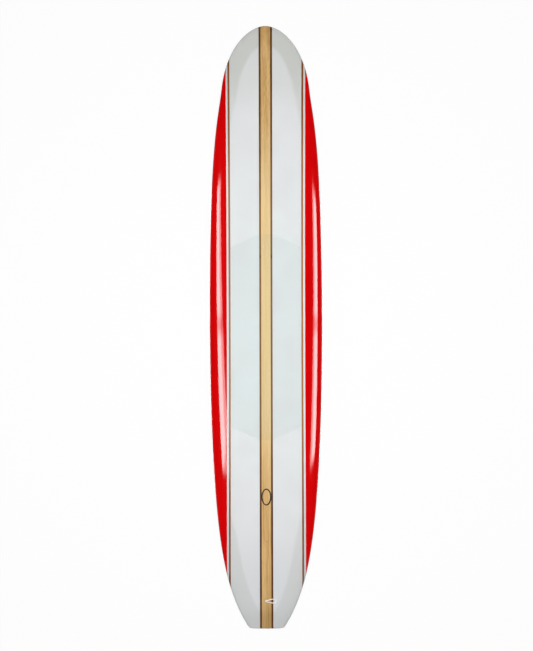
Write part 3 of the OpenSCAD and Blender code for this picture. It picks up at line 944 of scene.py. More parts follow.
@dataclass(frozen=True)
class FoamFinish:
    """Shaped white foam under glass, with a cloudy tone, fine cells and a darker lap round the ends."""

    name: str
    base: Colour
    mottle: Colour
    cool: Colour
    nose: Colour
    tail: Colour
    nose_under: Colour
    under_tint: Colour
    lap: Colour
    bottom_lap: Colour
    cool_reach: Ramp = (0.3, 1.1, 1, 0)
    nose_under_reach: Span = (0.85, 1.25)
    nose_reach: Ramp = (1.05, 1.25, 0, 1)
    tail_reach: Ramp = (-1.25, -0.92, 1, 0)
    # Painted shade towards the tail block
    tail_end_shade_reach: Ramp = (-1.48, -1.36, 0.925, 1)
    under_reach: Ramp = (0.75, 1.10, 1, 0)

    def make(self, groups: SharedGroups) -> bpy.types.Material:
        """Builds the foam's material."""
        material = Material(self.name)
        wiring = material.wiring
        place = wiring.place()
        y = wiring.split(place)[1]
        under = wiring.attribute("under")
        cloudy = wiring.span(wiring.noise(place, scale=7.0, detail=4, rough=0.6), 0.3, 0.75)
        middle = wiring.span(wiring.off(y), *self.cool_reach)
        tone = wiring.mix(cloudy, wiring.mix(middle, self.base, self.cool), self.mottle)
        nose_under = wiring.mix(under, tone, self.nose_under)
        tone = wiring.mix(wiring.span(y, *self.nose_under_reach), tone, nose_under)
        for reach, end in ((self.nose_reach, self.nose), (self.tail_reach, self.tail)):
            tone = wiring.mix(wiring.times(wiring.span(y, *reach), wiring.rest(under)), tone, end)
        # Painted shade: darker towards the tail block
        tone = wiring.tinted(tone, wiring.grey(wiring.span(y, *self.tail_end_shade_reach)))
        amid = wiring.times(wiring.span(wiring.off(y), *self.under_reach), under)
        tone = wiring.mix(amid, tone, wiring.tinted(tone, self.under_tint))
        lap = wiring.lapped_and_shaded(groups, tone, self.lap, self.bottom_lap)
        cells = wiring.noise(place, scale=900.0, detail=2, rough=0.6)
        normal = wiring.bump(cells, strength=0.2, distance=0.0002)
        return material.coated(lap, normal, rough=0.8, Specular_IOR_Level=0.1)


@dataclass(frozen=True)
class ClearGlassFinish:
    """Clear resin and cloth: see-through, with a gloss that follows the sanded surface."""

    name: str
    haze: Colour
    haze_share: float
    shine: float = 1.0
    rough: float = 0.09
    wave: float = 0.00012

    def make(self, groups: SharedGroups) -> bpy.types.Material:
        """Builds the glass's material."""
        material = Material(self.name)
        wiring = material.wiring
        place = wiring.place()
        waves = wiring.group(groups.wander, {"Place": place, "Scale": WAVE_SCALE})
        normal = wiring.bump(waves.outputs["Height"], strength=1.0, distance=self.wave)
        fresnel = wiring.add("ShaderNodeFresnel", {"IOR": RESIN_IOR, "Normal": normal}).outputs[0]
        front = wiring.rest(wiring.add("ShaderNodeNewGeometry").outputs["Backfacing"])
        shine = wiring.times(wiring.times(fresnel, front), self.shine)
        body = wiring.add("ShaderNodeBsdfTransparent").outputs[0]
        gloss = wiring.add("ShaderNodeBsdfGlossy", {"Roughness": self.rough, "Normal": normal}).outputs[0]
        if self.haze_share:
            cloth = wiring.group(groups.weave, {"Place": place, "Thread": THREAD})
            woven = wiring.bump(cloth.outputs["Height"], strength=0.2, distance=0.0002)
            haze = material.principled(self.haze, woven, rough=0.4, Specular_IOR_Level=0.0)
            body = wiring.blend(wiring.times(front, self.haze_share), body, haze)
        return material.surface(wiring.blend(shine, body, gloss))


@dataclass(frozen=True)
class RedLaminateFinish:
    """Cloth laid in red resin round the rail, under a polished clear coat."""

    name: str = "red_laminate"
    base: Colour = colour(212, 2, 4)
    deep: Colour = colour(201, 0, 3)
    rough: float = 0.06
    wave: float = 0.00012

    def make(self, groups: SharedGroups) -> bpy.types.Material:
        """Builds the laminate's material."""
        material = Material(self.name)
        wiring = material.wiring
        place = wiring.place()
        streaky = wiring.noise(wiring.stretched(place, (9, 2.2, 9)), scale=1.0, detail=4, rough=0.6)
        tone = wiring.mix(wiring.span(streaky, 0.35, 0.75), self.base, self.deep)
        waves = wiring.group(groups.wander, {"Place": place, "Scale": WAVE_SCALE})
        cloth = wiring.group(groups.weave, {"Place": place, "Thread": THREAD})
        height = wiring.calc("MULTIPLY_ADD", cloth.outputs["Height"], 0.02, waves.outputs["Height"])
        normal = wiring.bump(height, strength=1.0, distance=self.wave)
        return material.coated(tone, normal, self.rough, IOR=RESIN_IOR)


@dataclass(frozen=True)
class MouldedFinish:
    """Moulded or cast plastic and resin with a fine texture."""

    name: str
    base: Colour
    worn: Colour
    rough: float
    grain: float = 1400.0
    depth: float = 0.00006
    metal: float = 0.0

    def make(self, groups: SharedGroups) -> bpy.types.Material:
        """Builds the material."""
        material = Material(self.name)
        wiring = material.wiring
        place = wiring.place()
        cloudy = wiring.span(wiring.noise(place, scale=60.0, detail=3), 0.35, 0.75)
        tone = wiring.mix(cloudy, self.base, self.worn)
        fine = wiring.noise(place, self.grain, detail=2)
        rough = wiring.span(fine, 0.3, 0.7, self.rough * 0.85, self.rough * 1.15)
        normal = wiring.bump(fine, strength=0.5, distance=self.depth)
        return material.coated(tone, normal, rough, Metallic=self.metal)


@dataclass(frozen=True)
class BraidFinish:
    """A braided cord: strands that cross in two directions."""

    name: str = "white_cord"
    base: Colour = colour(250, 250, 246)
    # Painted shade in the grooves between the strands
    groove_shade: Colour = colour(206, 203, 196)
    strands: float = 8.0

    def make(self, groups: SharedGroups) -> bpy.types.Material:
        """Builds the cord's material."""
        material = Material(self.name)
        wiring = material.wiring
        u, v, _ = wiring.split(wiring.add("ShaderNodeUVMap", uv_map="UVMap").outputs[0])
        turn = wiring.times(u, math.pi * self.strands)
        run = wiring.times(v, 2 * math.pi)
        leans = (wiring.calc("SINE", wiring.calc(way, turn, run)) for way in ("ADD", "SUBTRACT"))
        height = wiring.times(*(wiring.off(lean) for lean in leans))
        # Painted shade where the strands dip under one another
        tone = wiring.mix(wiring.span(height, 0.0, 0.3), self.groove_shade, self.base)
        normal = wiring.bump(height, strength=0.8, distance=0.0003)
        return material.coated(tone, normal, rough=0.75, Sheen_Weight=0.2)


# --- Stage ---


@dataclass(frozen=True)
class StripLight:
    """A long lamp beside the board that only its gloss shows, with a dimmer fringe on its inner side."""

    face: Face
    side: Side
    x: float
    turn: float
    front: float
    rear: float
    width: float
    bright: float = 15.5
    fringe: float = 0.22
    fringe_bright: float = 7.0
    soft: float = 0.17
    joint_y: float = 0.02
    joint: Ramp = (0.0, 0.16, 0.42, 1.0)
    corner: float | None = None
    corner_slope: float = 1.2
    corner_soft: float = 0.1
    corner_dim: float = 0.42

    def bands(self) -> tuple[tuple[str, float, float, float], ...]:
        """Returns the name, place, width and brightness of the lamp and of its fringe."""
        inner = self.x - self.side.value * (self.width + self.fringe) / 2
        return (
            ("strip", self.x, self.width, self.bright),
            ("fringe", inner, self.fringe, self.fringe_bright),
        )

    def soften(self, lamp: bpy.types.Light) -> None:
        """Fades a lamp at both ends, and dims it where its halves meet and in its inner rear corner."""
        lamp.use_nodes = True
        lamp.node_tree.nodes.clear()
        wiring = Wiring(lamp.node_tree)
        x, y, _ = wiring.split(wiring.add("ShaderNodeNewGeometry").outputs["Position"])
        front = wiring.span(y, self.front - self.soft, self.front, 1.0, 0.0)
        rear = wiring.span(y, self.rear, self.rear + self.soft)
        joint = wiring.span(wiring.off(y, self.joint_y), *self.joint)
        strength = wiring.times(joint, wiring.times(front, rear))
        if self.corner is not None:
            slant = wiring.calc("ADD", wiring.off(x), wiring.times(y, self.corner_slope))
            reach = (self.corner - self.corner_soft, self.corner + self.corner_soft)
            strength = wiring.times(strength, wiring.span(slant, *reach, self.corner_dim, 1.0))
        glow = wiring.add("ShaderNodeEmission", {"Strength": strength}).outputs[0]
        wiring.add("ShaderNodeOutputLight", {"Surface": glow})


STRIPS = (
    StripLight(Face.DECK, Side.PORT, -1.715, 0.235, 1.39, -1.46, width=0.44, fringe=0.20, corner=-0.12),
    StripLight(Face.DECK, Side.STARBOARD, 2.33, -0.10, 1.345, -1.425, width=0.80),
    StripLight(Face.BOTTOM, Side.PORT, -2.52, -0.40, 1.75, -2.60, width=0.60, fringe=0.1),
    StripLight(Face.BOTTOM, Side.STARBOARD, 1.49, -0.130, 1.86, -1.98, width=0.44, fringe=0.26),
)


@dataclass(frozen=True)
class Studio:
    """The camera, the lamps, the floor and the white surroundings."""

    camera_place: Place = (0.0027, 0.0165, 2.866)
    camera_roll: float = math.radians(-0.14)
    lens: float = 30.46
    sensor: float = 36.0
    clip_start: float = 0.05
    lamp_z: float = 3.1
    lamp_width: float = 1.5
    lamps: tuple[tuple[Face, float, float], ...] = ((Face.DECK, 1.7, 9.0), (Face.BOTTOM, 2.6, 6.3))
    strip_z: float = 3.0
    surround: float = 0.42
    horizon: Ramp = (0.02, 0.22, 1.0, 0.02)
    floor_z: float = -0.001
    floor_half: float = 12.0
    floor_tint: Colour = (0.88, 0.88, 0.88, 1)
    floor_fade: Ramp = (2.0, 7.0, 0.93, 1.0)

    def set_camera(self) -> None:
        """Hangs the camera straight over the deck."""
        data = bpy.data.cameras.new("camera")
        data.lens = self.lens
        data.sensor_width = self.sensor
        data.sensor_fit = "AUTO"
        data.clip_start = self.clip_start
        camera = bpy.data.objects.new("camera", data)
        camera.location = self.camera_place
        camera.rotation_euler.z = self.camera_roll
        bpy.context.scene.collection.objects.link(camera)
        bpy.context.scene.camera = camera

    def set_lamps(self) -> None:
        """Lights the board from above and below, and hangs strips beside it that only its gloss shows."""
        for face, length, brightness in self.lamps:
            place = (0, 0, face.value * self.lamp_z)
            name = f"lamp_{face.name.lower()}"
            lamp = self._softbox(name, place, (self.lamp_width, length), brightness)
            lamp.visible_glossy = False
        for strip in STRIPS:
            for kind, x, width, brightness in strip.bands():
                name = f"{kind}_{strip.face.name}_{strip.side.name}".lower()
                place = (x, (strip.front + strip.rear) / 2, strip.face.value * self.strip_z)
                lamp = self._softbox(name, place, (width, strip.front - strip.rear), brightness)
                lamp.rotation_euler.z = strip.turn
                lamp.visible_diffuse = False
                strip.soften(lamp.data)

    @staticmethod
    def _softbox(
        name: str, place: Place, size: Span, brightness: float
    ) -> Piece:
        """Hangs an area lamp that faces the board and that the camera doesn't see.

        Args:
            name: The lamp's name.
            place: Its middle, over the deck or under the bottom.
            size: Its width across the board and its length along it.
            brightness: What it would read as if looked at, where 1 is white.

        Returns:
            The lamp.
        """
        data = bpy.data.lights.new(name, "AREA")
        data.shape = "RECTANGLE"
        data.size, data.size_y = size
        data.energy = brightness * math.pi * size[0] * size[1]
        lamp = bpy.data.objects.new(name, data)
        lamp.location = place
        lamp.rotation_euler.x = 0 if place[2] > 0 else math.pi
        lamp.visible_camera = False
        bpy.context.scene.collection.objects.link(lamp)
        return lamp

    def set_world(self) -> None:
        """Surrounds the board with even light that looks white behind it."""
        world = bpy.data.worlds.new("studio")
        world.use_nodes = True
        world.node_tree.nodes.clear()
        wiring = Wiring(world.node_tree)
        path = wiring.add("ShaderNodeLightPath").outputs
        seen = wiring.calc("MAXIMUM", path["Is Camera Ray"], path["Is Transmission Ray"])
        up = wiring.split(wiring.add("ShaderNodeTexCoord").outputs["Generated"])[2]
        mirrored = wiring.span(wiring.off(up), *self.horizon)
        shown = wiring.level(path["Is Glossy Ray"], self.surround, mirrored)
        strength = wiring.level(seen, shown, 1.0)
        light = wiring.add("ShaderNodeBackground", {"Color": WHITE, "Strength": strength}).outputs[0]
        wiring.add("ShaderNodeOutputWorld", {"Surface": light})
        bpy.context.scene.world = world

    def set_floor(self) -> None:
        """Lays a pale floor that is seen only from above, and lets the light below it through."""
        shape = bmesh.new()
        bmesh.ops.create_grid(shape, x_segments=1, y_segments=1, size=self.floor_half)
        bmesh.ops.translate(shape, verts=shape.verts, vec=(0, 0, self.floor_z))
        floor = as_object("floor", shape)
        material = Material("pale_floor")
        wiring = material.wiring
        path = wiring.add("ShaderNodeLightPath").outputs
        seen = wiring.calc("MAXIMUM", path["Is Camera Ray"], path["Is Glossy Ray"])
        seen = wiring.calc("MAXIMUM", seen, path["Is Transmission Ray"])
        matt = wiring.add("ShaderNodeBsdfDiffuse", {"Color": self.floor_tint}).outputs[0]
        white = wiring.add("ShaderNodeEmission", {"Color": WHITE, "Strength": 1.0}).outputs[0]
        clear = wiring.add("ShaderNodeBsdfTransparent").outputs[0]
        fade = wiring.span(wiring.length(wiring.place()), *self.floor_fade)
        top = wiring.blend(wiring.times(seen, fade), matt, white)
        behind = wiring.add("ShaderNodeNewGeometry").outputs["Backfacing"]
        floor.data.materials.append(material.surface(wiring.blend(behind, top, clear)))
        floor.visible_diffuse = False
        floor.visible_glossy = False
        floor.visible_shadow = False


# --- The board ---


@dataclass
class Bench:
    """What every part of the board is built with."""

    frame: dict[str, Any]
    shape: BoardShape
    groups: SharedGroups
    materials: dict[str, bpy.types.Material] = field(default_factory=dict)

    def dress(
        self, piece: Piece, slot: str, body: str = "root", finish: str | None = None
    ) -> Piece:
        """Gives a new piece its finish and its body, and puts it in place of the node of its name.

        Args:
            piece: The piece, named after its node.
            slot: The material slot.
            body: The body that it rides on.
            finish: The finish, where it isn't the slot's own.

        Returns:
            The piece.
        """
        node = piece.name.removesuffix("_made")
        piece.data.materials.clear()
        piece.data.materials.append(self.materials[finish or slot])
        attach(piece, body)
        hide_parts(node)
        piece.visible_shadow = slot not in CLEAR_SLOTS
        LOG.info("%s: %d faces, %s", piece.name, len(piece.data.polygons), slot)
        return piece

    def dress_lapped(self, piece: Piece, slot: str, finish: str | None = None) -> None:
        """Marks the laps on a piece of the blank or its glass, and dresses it."""
        mark_laps(piece, self.shape)
        self.dress(piece, slot, finish=finish)

    def dress_node(self, node: str, slot: str) -> None:
        """Gives a node of the frame its finish."""
        piece = self.frame["nodes"][node]
        piece.data.materials.clear()
        piece.data.materials.append(self.materials[slot])
        LOG.info("%s: kept, %s", node, slot)


@dataclass
class FinWell:
    """The box that holds a fin, sunk in the bottom near the tail."""

    bench: Bench
    box_length: float = 0.2667
    box_width: float = 0.0254
    box_height: float = 0.0225
    box_aft: float = 0.100
    corner: float = 0.004
    bed: float = 0.003
    through: float = 0.008
    slot_length: float = 0.2413
    slot_width: float = 0.0097
    slot_height: float = 0.0190
    slot_corner: float = 0.003
    lip_height: float = 0.0095
    channel_width: float = 0.0133
    channel_height: float = 0.0050
    notch_in: float = 0.036
    notch_length: float = 0.015
    edge: float = 0.0005
    plate_side: float = 0.0127
    plate_height: float = 0.0032
    plate_edge: float = 0.0003
    plate_gap: float = 0.0001
    thread_radius: float = 0.0020
    thread_gap: float = 0.00005
    thread_pitch: float = 0.0008
    thread_depth: float = 0.55
    thread_start: float = 0.6
    thread_form: tuple[float, ...] = (0.0, 0.36, 0.48, 0.84)
    head_in: float = 0.0012
    head_radius: float = 0.0039
    head_height: float = 0.0026
    head_crown: tuple[Span, ...] = ((0.55, 0.0001), (0.80, 0.0004), (0.94, 0.0009), (1.0, 0.0016))
    head_edge: float = 0.0002
    screw_length: float = 0.0127
    tip_edge: float = 0.0004
    driver_width: float = 0.0011
    driver_depth: float = 0.0012
    segments: int = 48

    @cached_property
    def frame(self) -> Matrix:
        """The box's own frame: its face is the plane z = 0, and z points into the board."""
        shape = self.bench.shape
        y = self.box_aft + self.box_length / 2 - shape.half
        rear, front = shape.rocker(np.array([y - self.box_length / 2, y + self.box_length / 2]))
        tilt = math.atan((rear - front) / self.box_length)
        return Matrix.Translation((0, y, (rear + front) / 2)) @ Matrix.Rotation(-tilt, 4, "X")

    @property
    def plate_y(self) -> float:
        """Where the plate is parked along the box, at the rear end of the slot."""
        return self.plate_gap + self.plate_side / 2 - self.slot_length / 2

    def _placed(self, name: str, shape: Shape) -> Piece:
        """Moves a shape from the box's frame to its place in the board."""
        bmesh.ops.transform(shape, matrix=self.frame, verts=shape.verts)
        return as_object(name, shape)

    def cutter(self) -> Piece:
        """Makes the shape of the well, which is the box with its bed of resin."""
        width = self.box_width + 2 * self.bed
        length = self.box_length + 2 * self.bed
        high = self.box_height + self.bed
        well = rounded_bar(width, length, -self.through, high, self.corner + self.bed)
        return self._placed("well_cutter", well)

    def _mouth(self, width: float, length: float, high: float, corner: float, y: float) -> Piece:
        """Makes the shape of an opening in the box's face, flared so that it leaves a bevelled rim.

        Args:
            width: The opening's width.
            length: Its length.
            high: How deep it goes.
            corner: The radius of its corners.
            y: Its middle along the box.

        Returns:
            The cutter.
        """
        shape = rounded_bar(width, length, -self.through, high, corner, segments=6)
        bmesh.ops.bisect_plane(
            shape, geom=[*shape.verts, *shape.edges, *shape.faces],
            plane_co=(0, 0, self.edge), plane_no=(0, 0, 1),
        )
        for vert in shape.verts:
            flare = max(0.0, self.edge - vert.co.z)
            vert.co.x += math.copysign(flare, vert.co.x)
            vert.co.y += math.copysign(flare, vert.co.y)
        bmesh.ops.translate(shape, vec=(0, y, 0), verts=shape.verts)
        return self._placed("mouth_cutter", shape)

    def build(self) -> None:
        """Builds the box, the plate and the screw, and dresses the resin round the box."""
        self._box()
        self._plate()
        self._screw()
        self.bench.dress_node("fin_box_bed", "resin")

    def _box(self) -> None:
        """Builds the box with its slot, the channel behind the slot's lips and the notch in them."""
        shape = rounded_bar(self.box_width, self.box_length, 0, self.box_height, self.corner)
        chamfer(shape, 0, self.edge)
        chamfer(shape, self.box_height, 2 * self.edge)
        box = self._placed("fin_box_made", shape)
        channel = rounded_bar(
            self.channel_width, self.slot_length, self.lip_height, self.lip_height + self.channel_height
        )
        notch_y = self.slot_length / 2 - self.notch_in - self.notch_length / 2
        notch_high = self.lip_height + self.channel_height / 2
        cut(
            box,
            self._mouth(self.slot_width, self.slot_length, self.slot_height, self.slot_corner, 0),
            self._placed("channel_cutter", channel),
            self._mouth(self.channel_width, self.notch_length, notch_high, 0.0, notch_y),
        )
        self.bench.dress(box, "box_plastic")

    def _plate(self) -> None:
        """Builds the square plate under the lips, with its hole for the screw."""
        low = self.lip_height + self.plate_gap
        high = low + self.plate_height
        shape = rounded_bar(self.plate_side, self.plate_side, low, high, self.edge, segments=4)
        for z in (low, high):
            chamfer(shape, z, self.plate_edge)
        bmesh.ops.translate(shape, vec=(0, self.plate_y, 0), verts=shape.verts)
        plate = self._placed("fin_plate_made", shape)
        reach = 2 * self.plate_height
        hole = cylinder(self.thread_radius, low - reach, low + reach, self.segments)
        bmesh.ops.translate(hole, vec=(0, self.plate_y, 0), verts=hole.verts)
        cut(plate, self._placed("hole_cutter", hole))
        self.bench.dress(plate, "steel", "plate")

    def _screw(self) -> None:
        """Builds the screw: a pan head with a driver slot, over a threaded shank."""
        crest = self.thread_radius - self.thread_gap
        root = crest - self.thread_depth * self.thread_pitch
        head, tip = self.head_height, self.head_height + self.screw_length
        chain = [(0, 0), *((share * self.head_radius, z) for share, z in self.head_crown)]
        chain += [
            (self.head_radius, head - self.head_edge),
            (self.head_radius - self.head_edge, head),
            (root, head),
        ]
        turns = int((self.screw_length - 2 * self.thread_pitch) / self.thread_pitch)
        for turn in range(turns):
            for radius, rise in zip((root, crest, crest, root), self.thread_form):
                chain.append((radius, head + (turn + self.thread_start + rise) * self.thread_pitch))
        chain += [(root, tip - self.tip_edge), (root - self.tip_edge, tip), (0, tip)]
        shape = bmesh.new()
        verts = [shape.verts.new((radius, 0, z)) for radius, z in chain]
        edges = [shape.edges.new(pair) for pair in zip(verts, verts[1:])]
        bmesh.ops.spin(
            shape, geom=[*verts, *edges], cent=(0, 0, 0), axis=(0, 0, 1),
            angle=2 * math.pi, steps=self.segments, use_merge=True,
        )
        bmesh.ops.remove_doubles(shape, verts=shape.verts, dist=MERGE)
        bmesh.ops.recalc_face_normals(shape, faces=shape.faces)
        lift = (0, self.plate_y, self.head_in)
        bmesh.ops.translate(shape, vec=lift, verts=shape.verts)
        screw = self._placed("fin_screw_made", shape)
        depth = self.driver_depth
        driver = rounded_bar(3 * self.head_radius, self.driver_width, -depth, depth)
        bmesh.ops.translate(driver, vec=lift, verts=driver.verts)
        cut(screw, self._placed("driver_cutter", driver))
        self.bench.dress(screw, "steel", "screw")


@dataclass
class LeashLoop:
    """A loop of cord that comes out of a resin plug in the deck."""

    bench: Bench
    plug_aft: float = 0.140
    plug_x: float = -0.005
    plug_radius: float = 0.010
    plug_depth: float = 0.009
    plug_segments: int = 64
    plug_rings: tuple[Span, ...] = ((0.0012, 0.0), (0.0014, 0.00012), (0.0030, 0.00018))
    plug_edge: float = 0.0002
    through: float = 0.008
    cord_radius: float = 0.002
    sides: int = 24
    steps: int = 12
    half_route: tuple[Place, ...] = (
        (-0.0030, 0.0026, -0.0060), (-0.0017, 0.0026, -0.0030), (0.0003, 0.0027, 0.0000),
        (0.0032, 0.0030, 0.0029), (0.0072, 0.0037, 0.0045), (0.0122, 0.0048, 0.0046),
        (0.0178, 0.0062, 0.0037), (0.0235, 0.0075, 0.0027), (0.0293, 0.0086, 0.0022),
        (0.0352, 0.0093, 0.0021), (0.0410, 0.0092, 0.0021), (0.0461, 0.0076, 0.0021),
        (0.0499, 0.0046, 0.0021), (0.0515, 0.0000, 0.0021),
    )

    @cached_property
    def frame(self) -> Matrix:
        """The plug's own frame: its top is the plane z = 0, and z points out of the deck."""
        shape = self.bench.shape
        y = self.plug_aft - shape.half
        steps = (y + self.plug_radius, y - self.plug_radius, y)
        fore, aft, middle = (shape.height(Face.DECK, self.plug_x, step) for step in steps)
        tilt = math.atan((fore - aft) / (2 * self.plug_radius))
        return Matrix.Translation((self.plug_x, y, middle)) @ Matrix.Rotation(tilt, 4, "X")

    def route(self) -> np.ndarray:
        """Returns the cord's route on the board, as a smooth run through its chosen points."""
        half = np.array(self.half_route)
        knots = np.concatenate([half, half[-2::-1] * [1, -1, 1]])
        padded = np.concatenate([[2 * knots[0] - knots[1]], knots, [2 * knots[-1] - knots[-2]]])
        run = []
        for a, b, c, d in zip(padded, padded[1:], padded[2:], padded[3:]):
            for t in np.arange(self.steps) / self.steps:
                run.append(0.5 * (
                    2 * b + (c - a) * t
                    + (2 * a - 5 * b + 4 * c - d) * t**2
                    + (3 * b - a - 3 * c + d) * t**3
                ))
        run.append(knots[-1])
        return np.array([self.frame @ Vector(p) for p in run])

    def _rings(self, path: np.ndarray) -> np.ndarray:
        """Returns a ring of points round each point of a route, as rings by points by three."""
        up = np.array(self.frame.to_3x3() @ Vector((0, 0, 1)))
        turns = np.linspace(0, 2 * math.pi, self.sides + 1)[:, None]
        rings = []
        for i, middle in enumerate(path):
            along = path[min(i + 1, len(path) - 1)] - path[max(i - 1, 0)]
            along /= np.linalg.norm(along)
            side = np.cross(up, along)
            side /= np.linalg.norm(side)
            top = np.cross(along, side)
            rings.append(middle + self.cord_radius * (np.sin(turns) * side + np.cos(turns) * top))
        return np.array(rings)

    def cutter(self) -> Piece:
        """Makes the shape of the hole for the plug."""
        shape = cylinder(self.plug_radius, -self.plug_depth, self.through, self.plug_segments)
        bmesh.ops.transform(shape, matrix=self.frame, verts=shape.verts)
        return as_object("plug_cutter", shape)

    def build(self) -> Piece:
        """Returns:
            The cord's piece.
        """
        path = self.route()
        runs = np.linalg.norm(np.diff(path, axis=0), axis=1)
        travelled = np.concatenate([[0], np.cumsum(runs)])
        shape = bmesh.new()
        bmesh.ops.create_grid(shape, x_segments=self.sides, y_segments=len(path) - 1, size=0.5)
        layer = shape.loops.layers.uv.new("UVMap")
        for face in shape.faces:
            for loop in face.loops:
                row = round((loop.vert.co.y + 0.5) * (len(path) - 1))
                loop[layer].uv = (loop.vert.co.x + 0.5, travelled[row] / (2 * self.cord_radius))
        place_on_nets(shape, shape.verts, self._rings(path))
        bmesh.ops.remove_doubles(shape, verts=shape.verts, dist=MERGE)
        bmesh.ops.holes_fill(shape, edges=[e for e in shape.edges if e.is_boundary], sides=0)
        bmesh.ops.recalc_face_normals(shape, faces=shape.faces)
        loop = self.bench.dress(as_object("leash_loop_made", shape), "white_cord")
        LOG.info("leash loop: %.1f mm of cord", 1000 * travelled[-1])
        return loop

    def build_plug(self) -> None:
        """Builds the plug of cast resin that holds the cord, hollowed a little where it shrank."""
        shape = cylinder(self.plug_radius, -self.plug_depth, 0, self.plug_segments)
        top = max(shape.faces, key=lambda face: face.calc_center_median().z)
        for inset, sink in self.plug_rings:
            bmesh.ops.inset_region(shape, faces=[top], thickness=inset, use_even_offset=True)
            bmesh.ops.translate(shape, vec=(0, 0, -sink), verts=top.verts)
        chamfer(shape, 0, self.plug_edge)
        bmesh.ops.transform(shape, matrix=self.frame, verts=shape.verts)
        self.bench.dress(as_object("leash_anchor_made", shape), "resin", finish="plug_resin")


@dataclass
class Blank:
    """The foam panels and the wooden stringers between them."""

    bench: Bench
    well: FinWell
    loop: LeashLoop
    centre_columns: int = 17

    def build(self) -> None:
        """Builds every piece of the blank."""
        shape = self.bench.shape
        core = shape.core(shape.stations())
        self._centre(core)
        strips = (
            ("redwood_strip", shape.balsa_x, shape.redwood_x, 6, "redwood"),
            ("foam_inner", shape.redwood_x, shape.offset_in, 28, "foam"),
            ("offset_stringer", shape.offset_in, shape.offset_out, 6, "stringer_wood"),
            ("foam_outer", shape.offset_out, shape.width, 30, "foam"),
        )
        for side in Side:
            for strip in strips:
                self._strip(core, side, *strip)

    def _centre(self, core: Sections) -> None:
        """Builds the balsa stringer, with the fin well and the plug's hole cut out of it."""
        shape = self.bench.shape
        x = core.columns(-shape.balsa_x, shape.balsa_x, self.centre_columns)
        piece = lay_up("centre_stringer_made", *(core.net(x, face) for face in Face))
        cut(piece, self.well.cutter(), self.loop.cutter())
        self.bench.dress_lapped(piece, "balsa")

    def _strip(
        self, core: Sections, side: Side, name: str, start: float, end: float, columns: int, slot: str
    ) -> None:
        """Builds a panel or stringer between two lines on one side.

        Args:
            core: The cuts of the blank.
            side: The side of the board.
            name: The node's name without its side.
            start: The inner line.
            end: The outer line, held inside the rail.
            columns: The number of columns across.
            slot: The material slot.
        """
        cuts = core.wider_than(start)
        x = side.value * cuts.columns(start, end, columns)
        nets = (cuts.net(x, face) for face in Face)
        self.bench.dress_lapped(lay_up(f"{name}_{side.name.lower()}_made", *nets), slot)


@dataclass
class GlassShell:
    """The clear glass on both faces, the red laminate on the rails and the two patches."""

    bench: Bench
    well: FinWell
    loop: LeashLoop
    film: float = 0.00005
    patch: float = 0.0003
    patch_share: float = 0.75
    patch_columns: int = 65
    face_columns: int = 73
    rail_columns: int = 30
    deck_patch_front: float = 1.020
    deck_patch_rear: float = 2.060
    deck_patch_point: float = 0.066
    tail_patch_front: float = 0.480
    tail_patch_point: float = 0.123
    tail_patch_rear: float = 0.060

    def build(self) -> None:
        """Builds every piece of the shell."""
        self._face(Face.DECK)
        self._face(Face.BOTTOM)
        for side in Side:
            self._rail(side)
        self._deck_patch()
        self._tail_patch()

    def _face(self, face: Face) -> None:
        """Builds the clear glass of one face, closed over its half of the tail block."""
        shape = self.bench.shape
        y = shape.stations()
        nets = []
        for cuts in (shape.skin(y), shape.lining(y)):
            x = cuts.columns(-shape.panel_x, shape.panel_x, self.face_columns, face)
            closed = cuts.closed()
            nets.append(closed.net(np.concatenate([x, x[-1:]]), face))
        piece = lay_up(f"{face.name.lower()}_glass_made", *nets)
        cut(piece, self.loop.cutter() if face is Face.DECK else self.well.cutter())
        self.bench.dress_lapped(piece, "clear_glass")

    def _rail(self, side: Side) -> None:
        """Builds the red laminate round one rail."""
        shape = self.bench.shape
        y = shape.stations()
        reach = shape.skin(y).half_width > shape.panel_x - MERGE / 2
        nets = []
        for cuts in (shape.skin(y[reach]), shape.lining(y[reach])):
            over = side.value * cuts.columns(shape.panel_x, shape.width, self.rail_columns, Face.DECK)
            under = side.value * cuts.columns(shape.width, shape.panel_x, self.rail_columns, Face.BOTTOM)
            deck, bottom = cuts.net(over, Face.DECK), cuts.net(under, Face.BOTTOM)
            nets.append(np.concatenate([deck, bottom[:, 1:]], axis=1))
        self.bench.dress_lapped(lay_up(f"rail_laminate_{side.name.lower()}_made", *nets), "red_laminate")

    def _patch(self, name: str, face: Face, stops: list[Span]) -> Piece:
        """Lays a patch of extra glass on a face.

        Args:
            name: The piece's name.
            face: The face.
            stops: Places from the patch's front to its rear, each with its half width there.

        Returns:
            The patch.
        """
        shape = self.bench.shape
        places, widths = zip(*stops)
        y = shape.stations(places)
        y = y[(y < places[0] + MERGE) & (y > places[-1] - MERGE)]
        edge = np.interp(y, places[::-1], widths[::-1])
        edge = np.minimum(edge, self.patch_share * shape.half_width(y))
        cuts = shape.skin(y)
        net = cuts.net(cuts.columns(-edge, edge, self.patch_columns, face), face)
        low, high = (np.array([0, 0, face.value * lift]) for lift in (self.film, self.film + self.patch))
        return lay_up(name, net + high, net + low)

    def _deck_patch(self) -> None:
        """Builds the long patch with pointed ends on the deck."""
        shape = self.bench.shape
        front = shape.half - self.deck_patch_front
        rear = shape.half - self.deck_patch_rear
        stops = [
            (front, shape.redwood_x), (front - self.deck_patch_point, shape.offset_in),
            (rear + self.deck_patch_point, shape.offset_in), (rear, shape.redwood_x),
        ]
        self.bench.dress_lapped(self._patch("deck_patch_made", Face.DECK, stops), "glass_patch")

    def _tail_patch(self) -> None:
        """Builds the patch round the fin box, held clear of the turn of the rail."""
        shape = self.bench.shape
        front = self.tail_patch_front - shape.half
        rear = self.tail_patch_rear - shape.half
        stops = [
            (front, shape.redwood_x), (front - self.tail_patch_point, shape.offset_in),
            (rear, shape.offset_in),
        ]
        piece = self._patch("tail_patch_made", Face.BOTTOM, stops)
        cut(piece, self.well.cutter())
        self.bench.dress_lapped(piece, "glass_patch", finish="tail_glass")


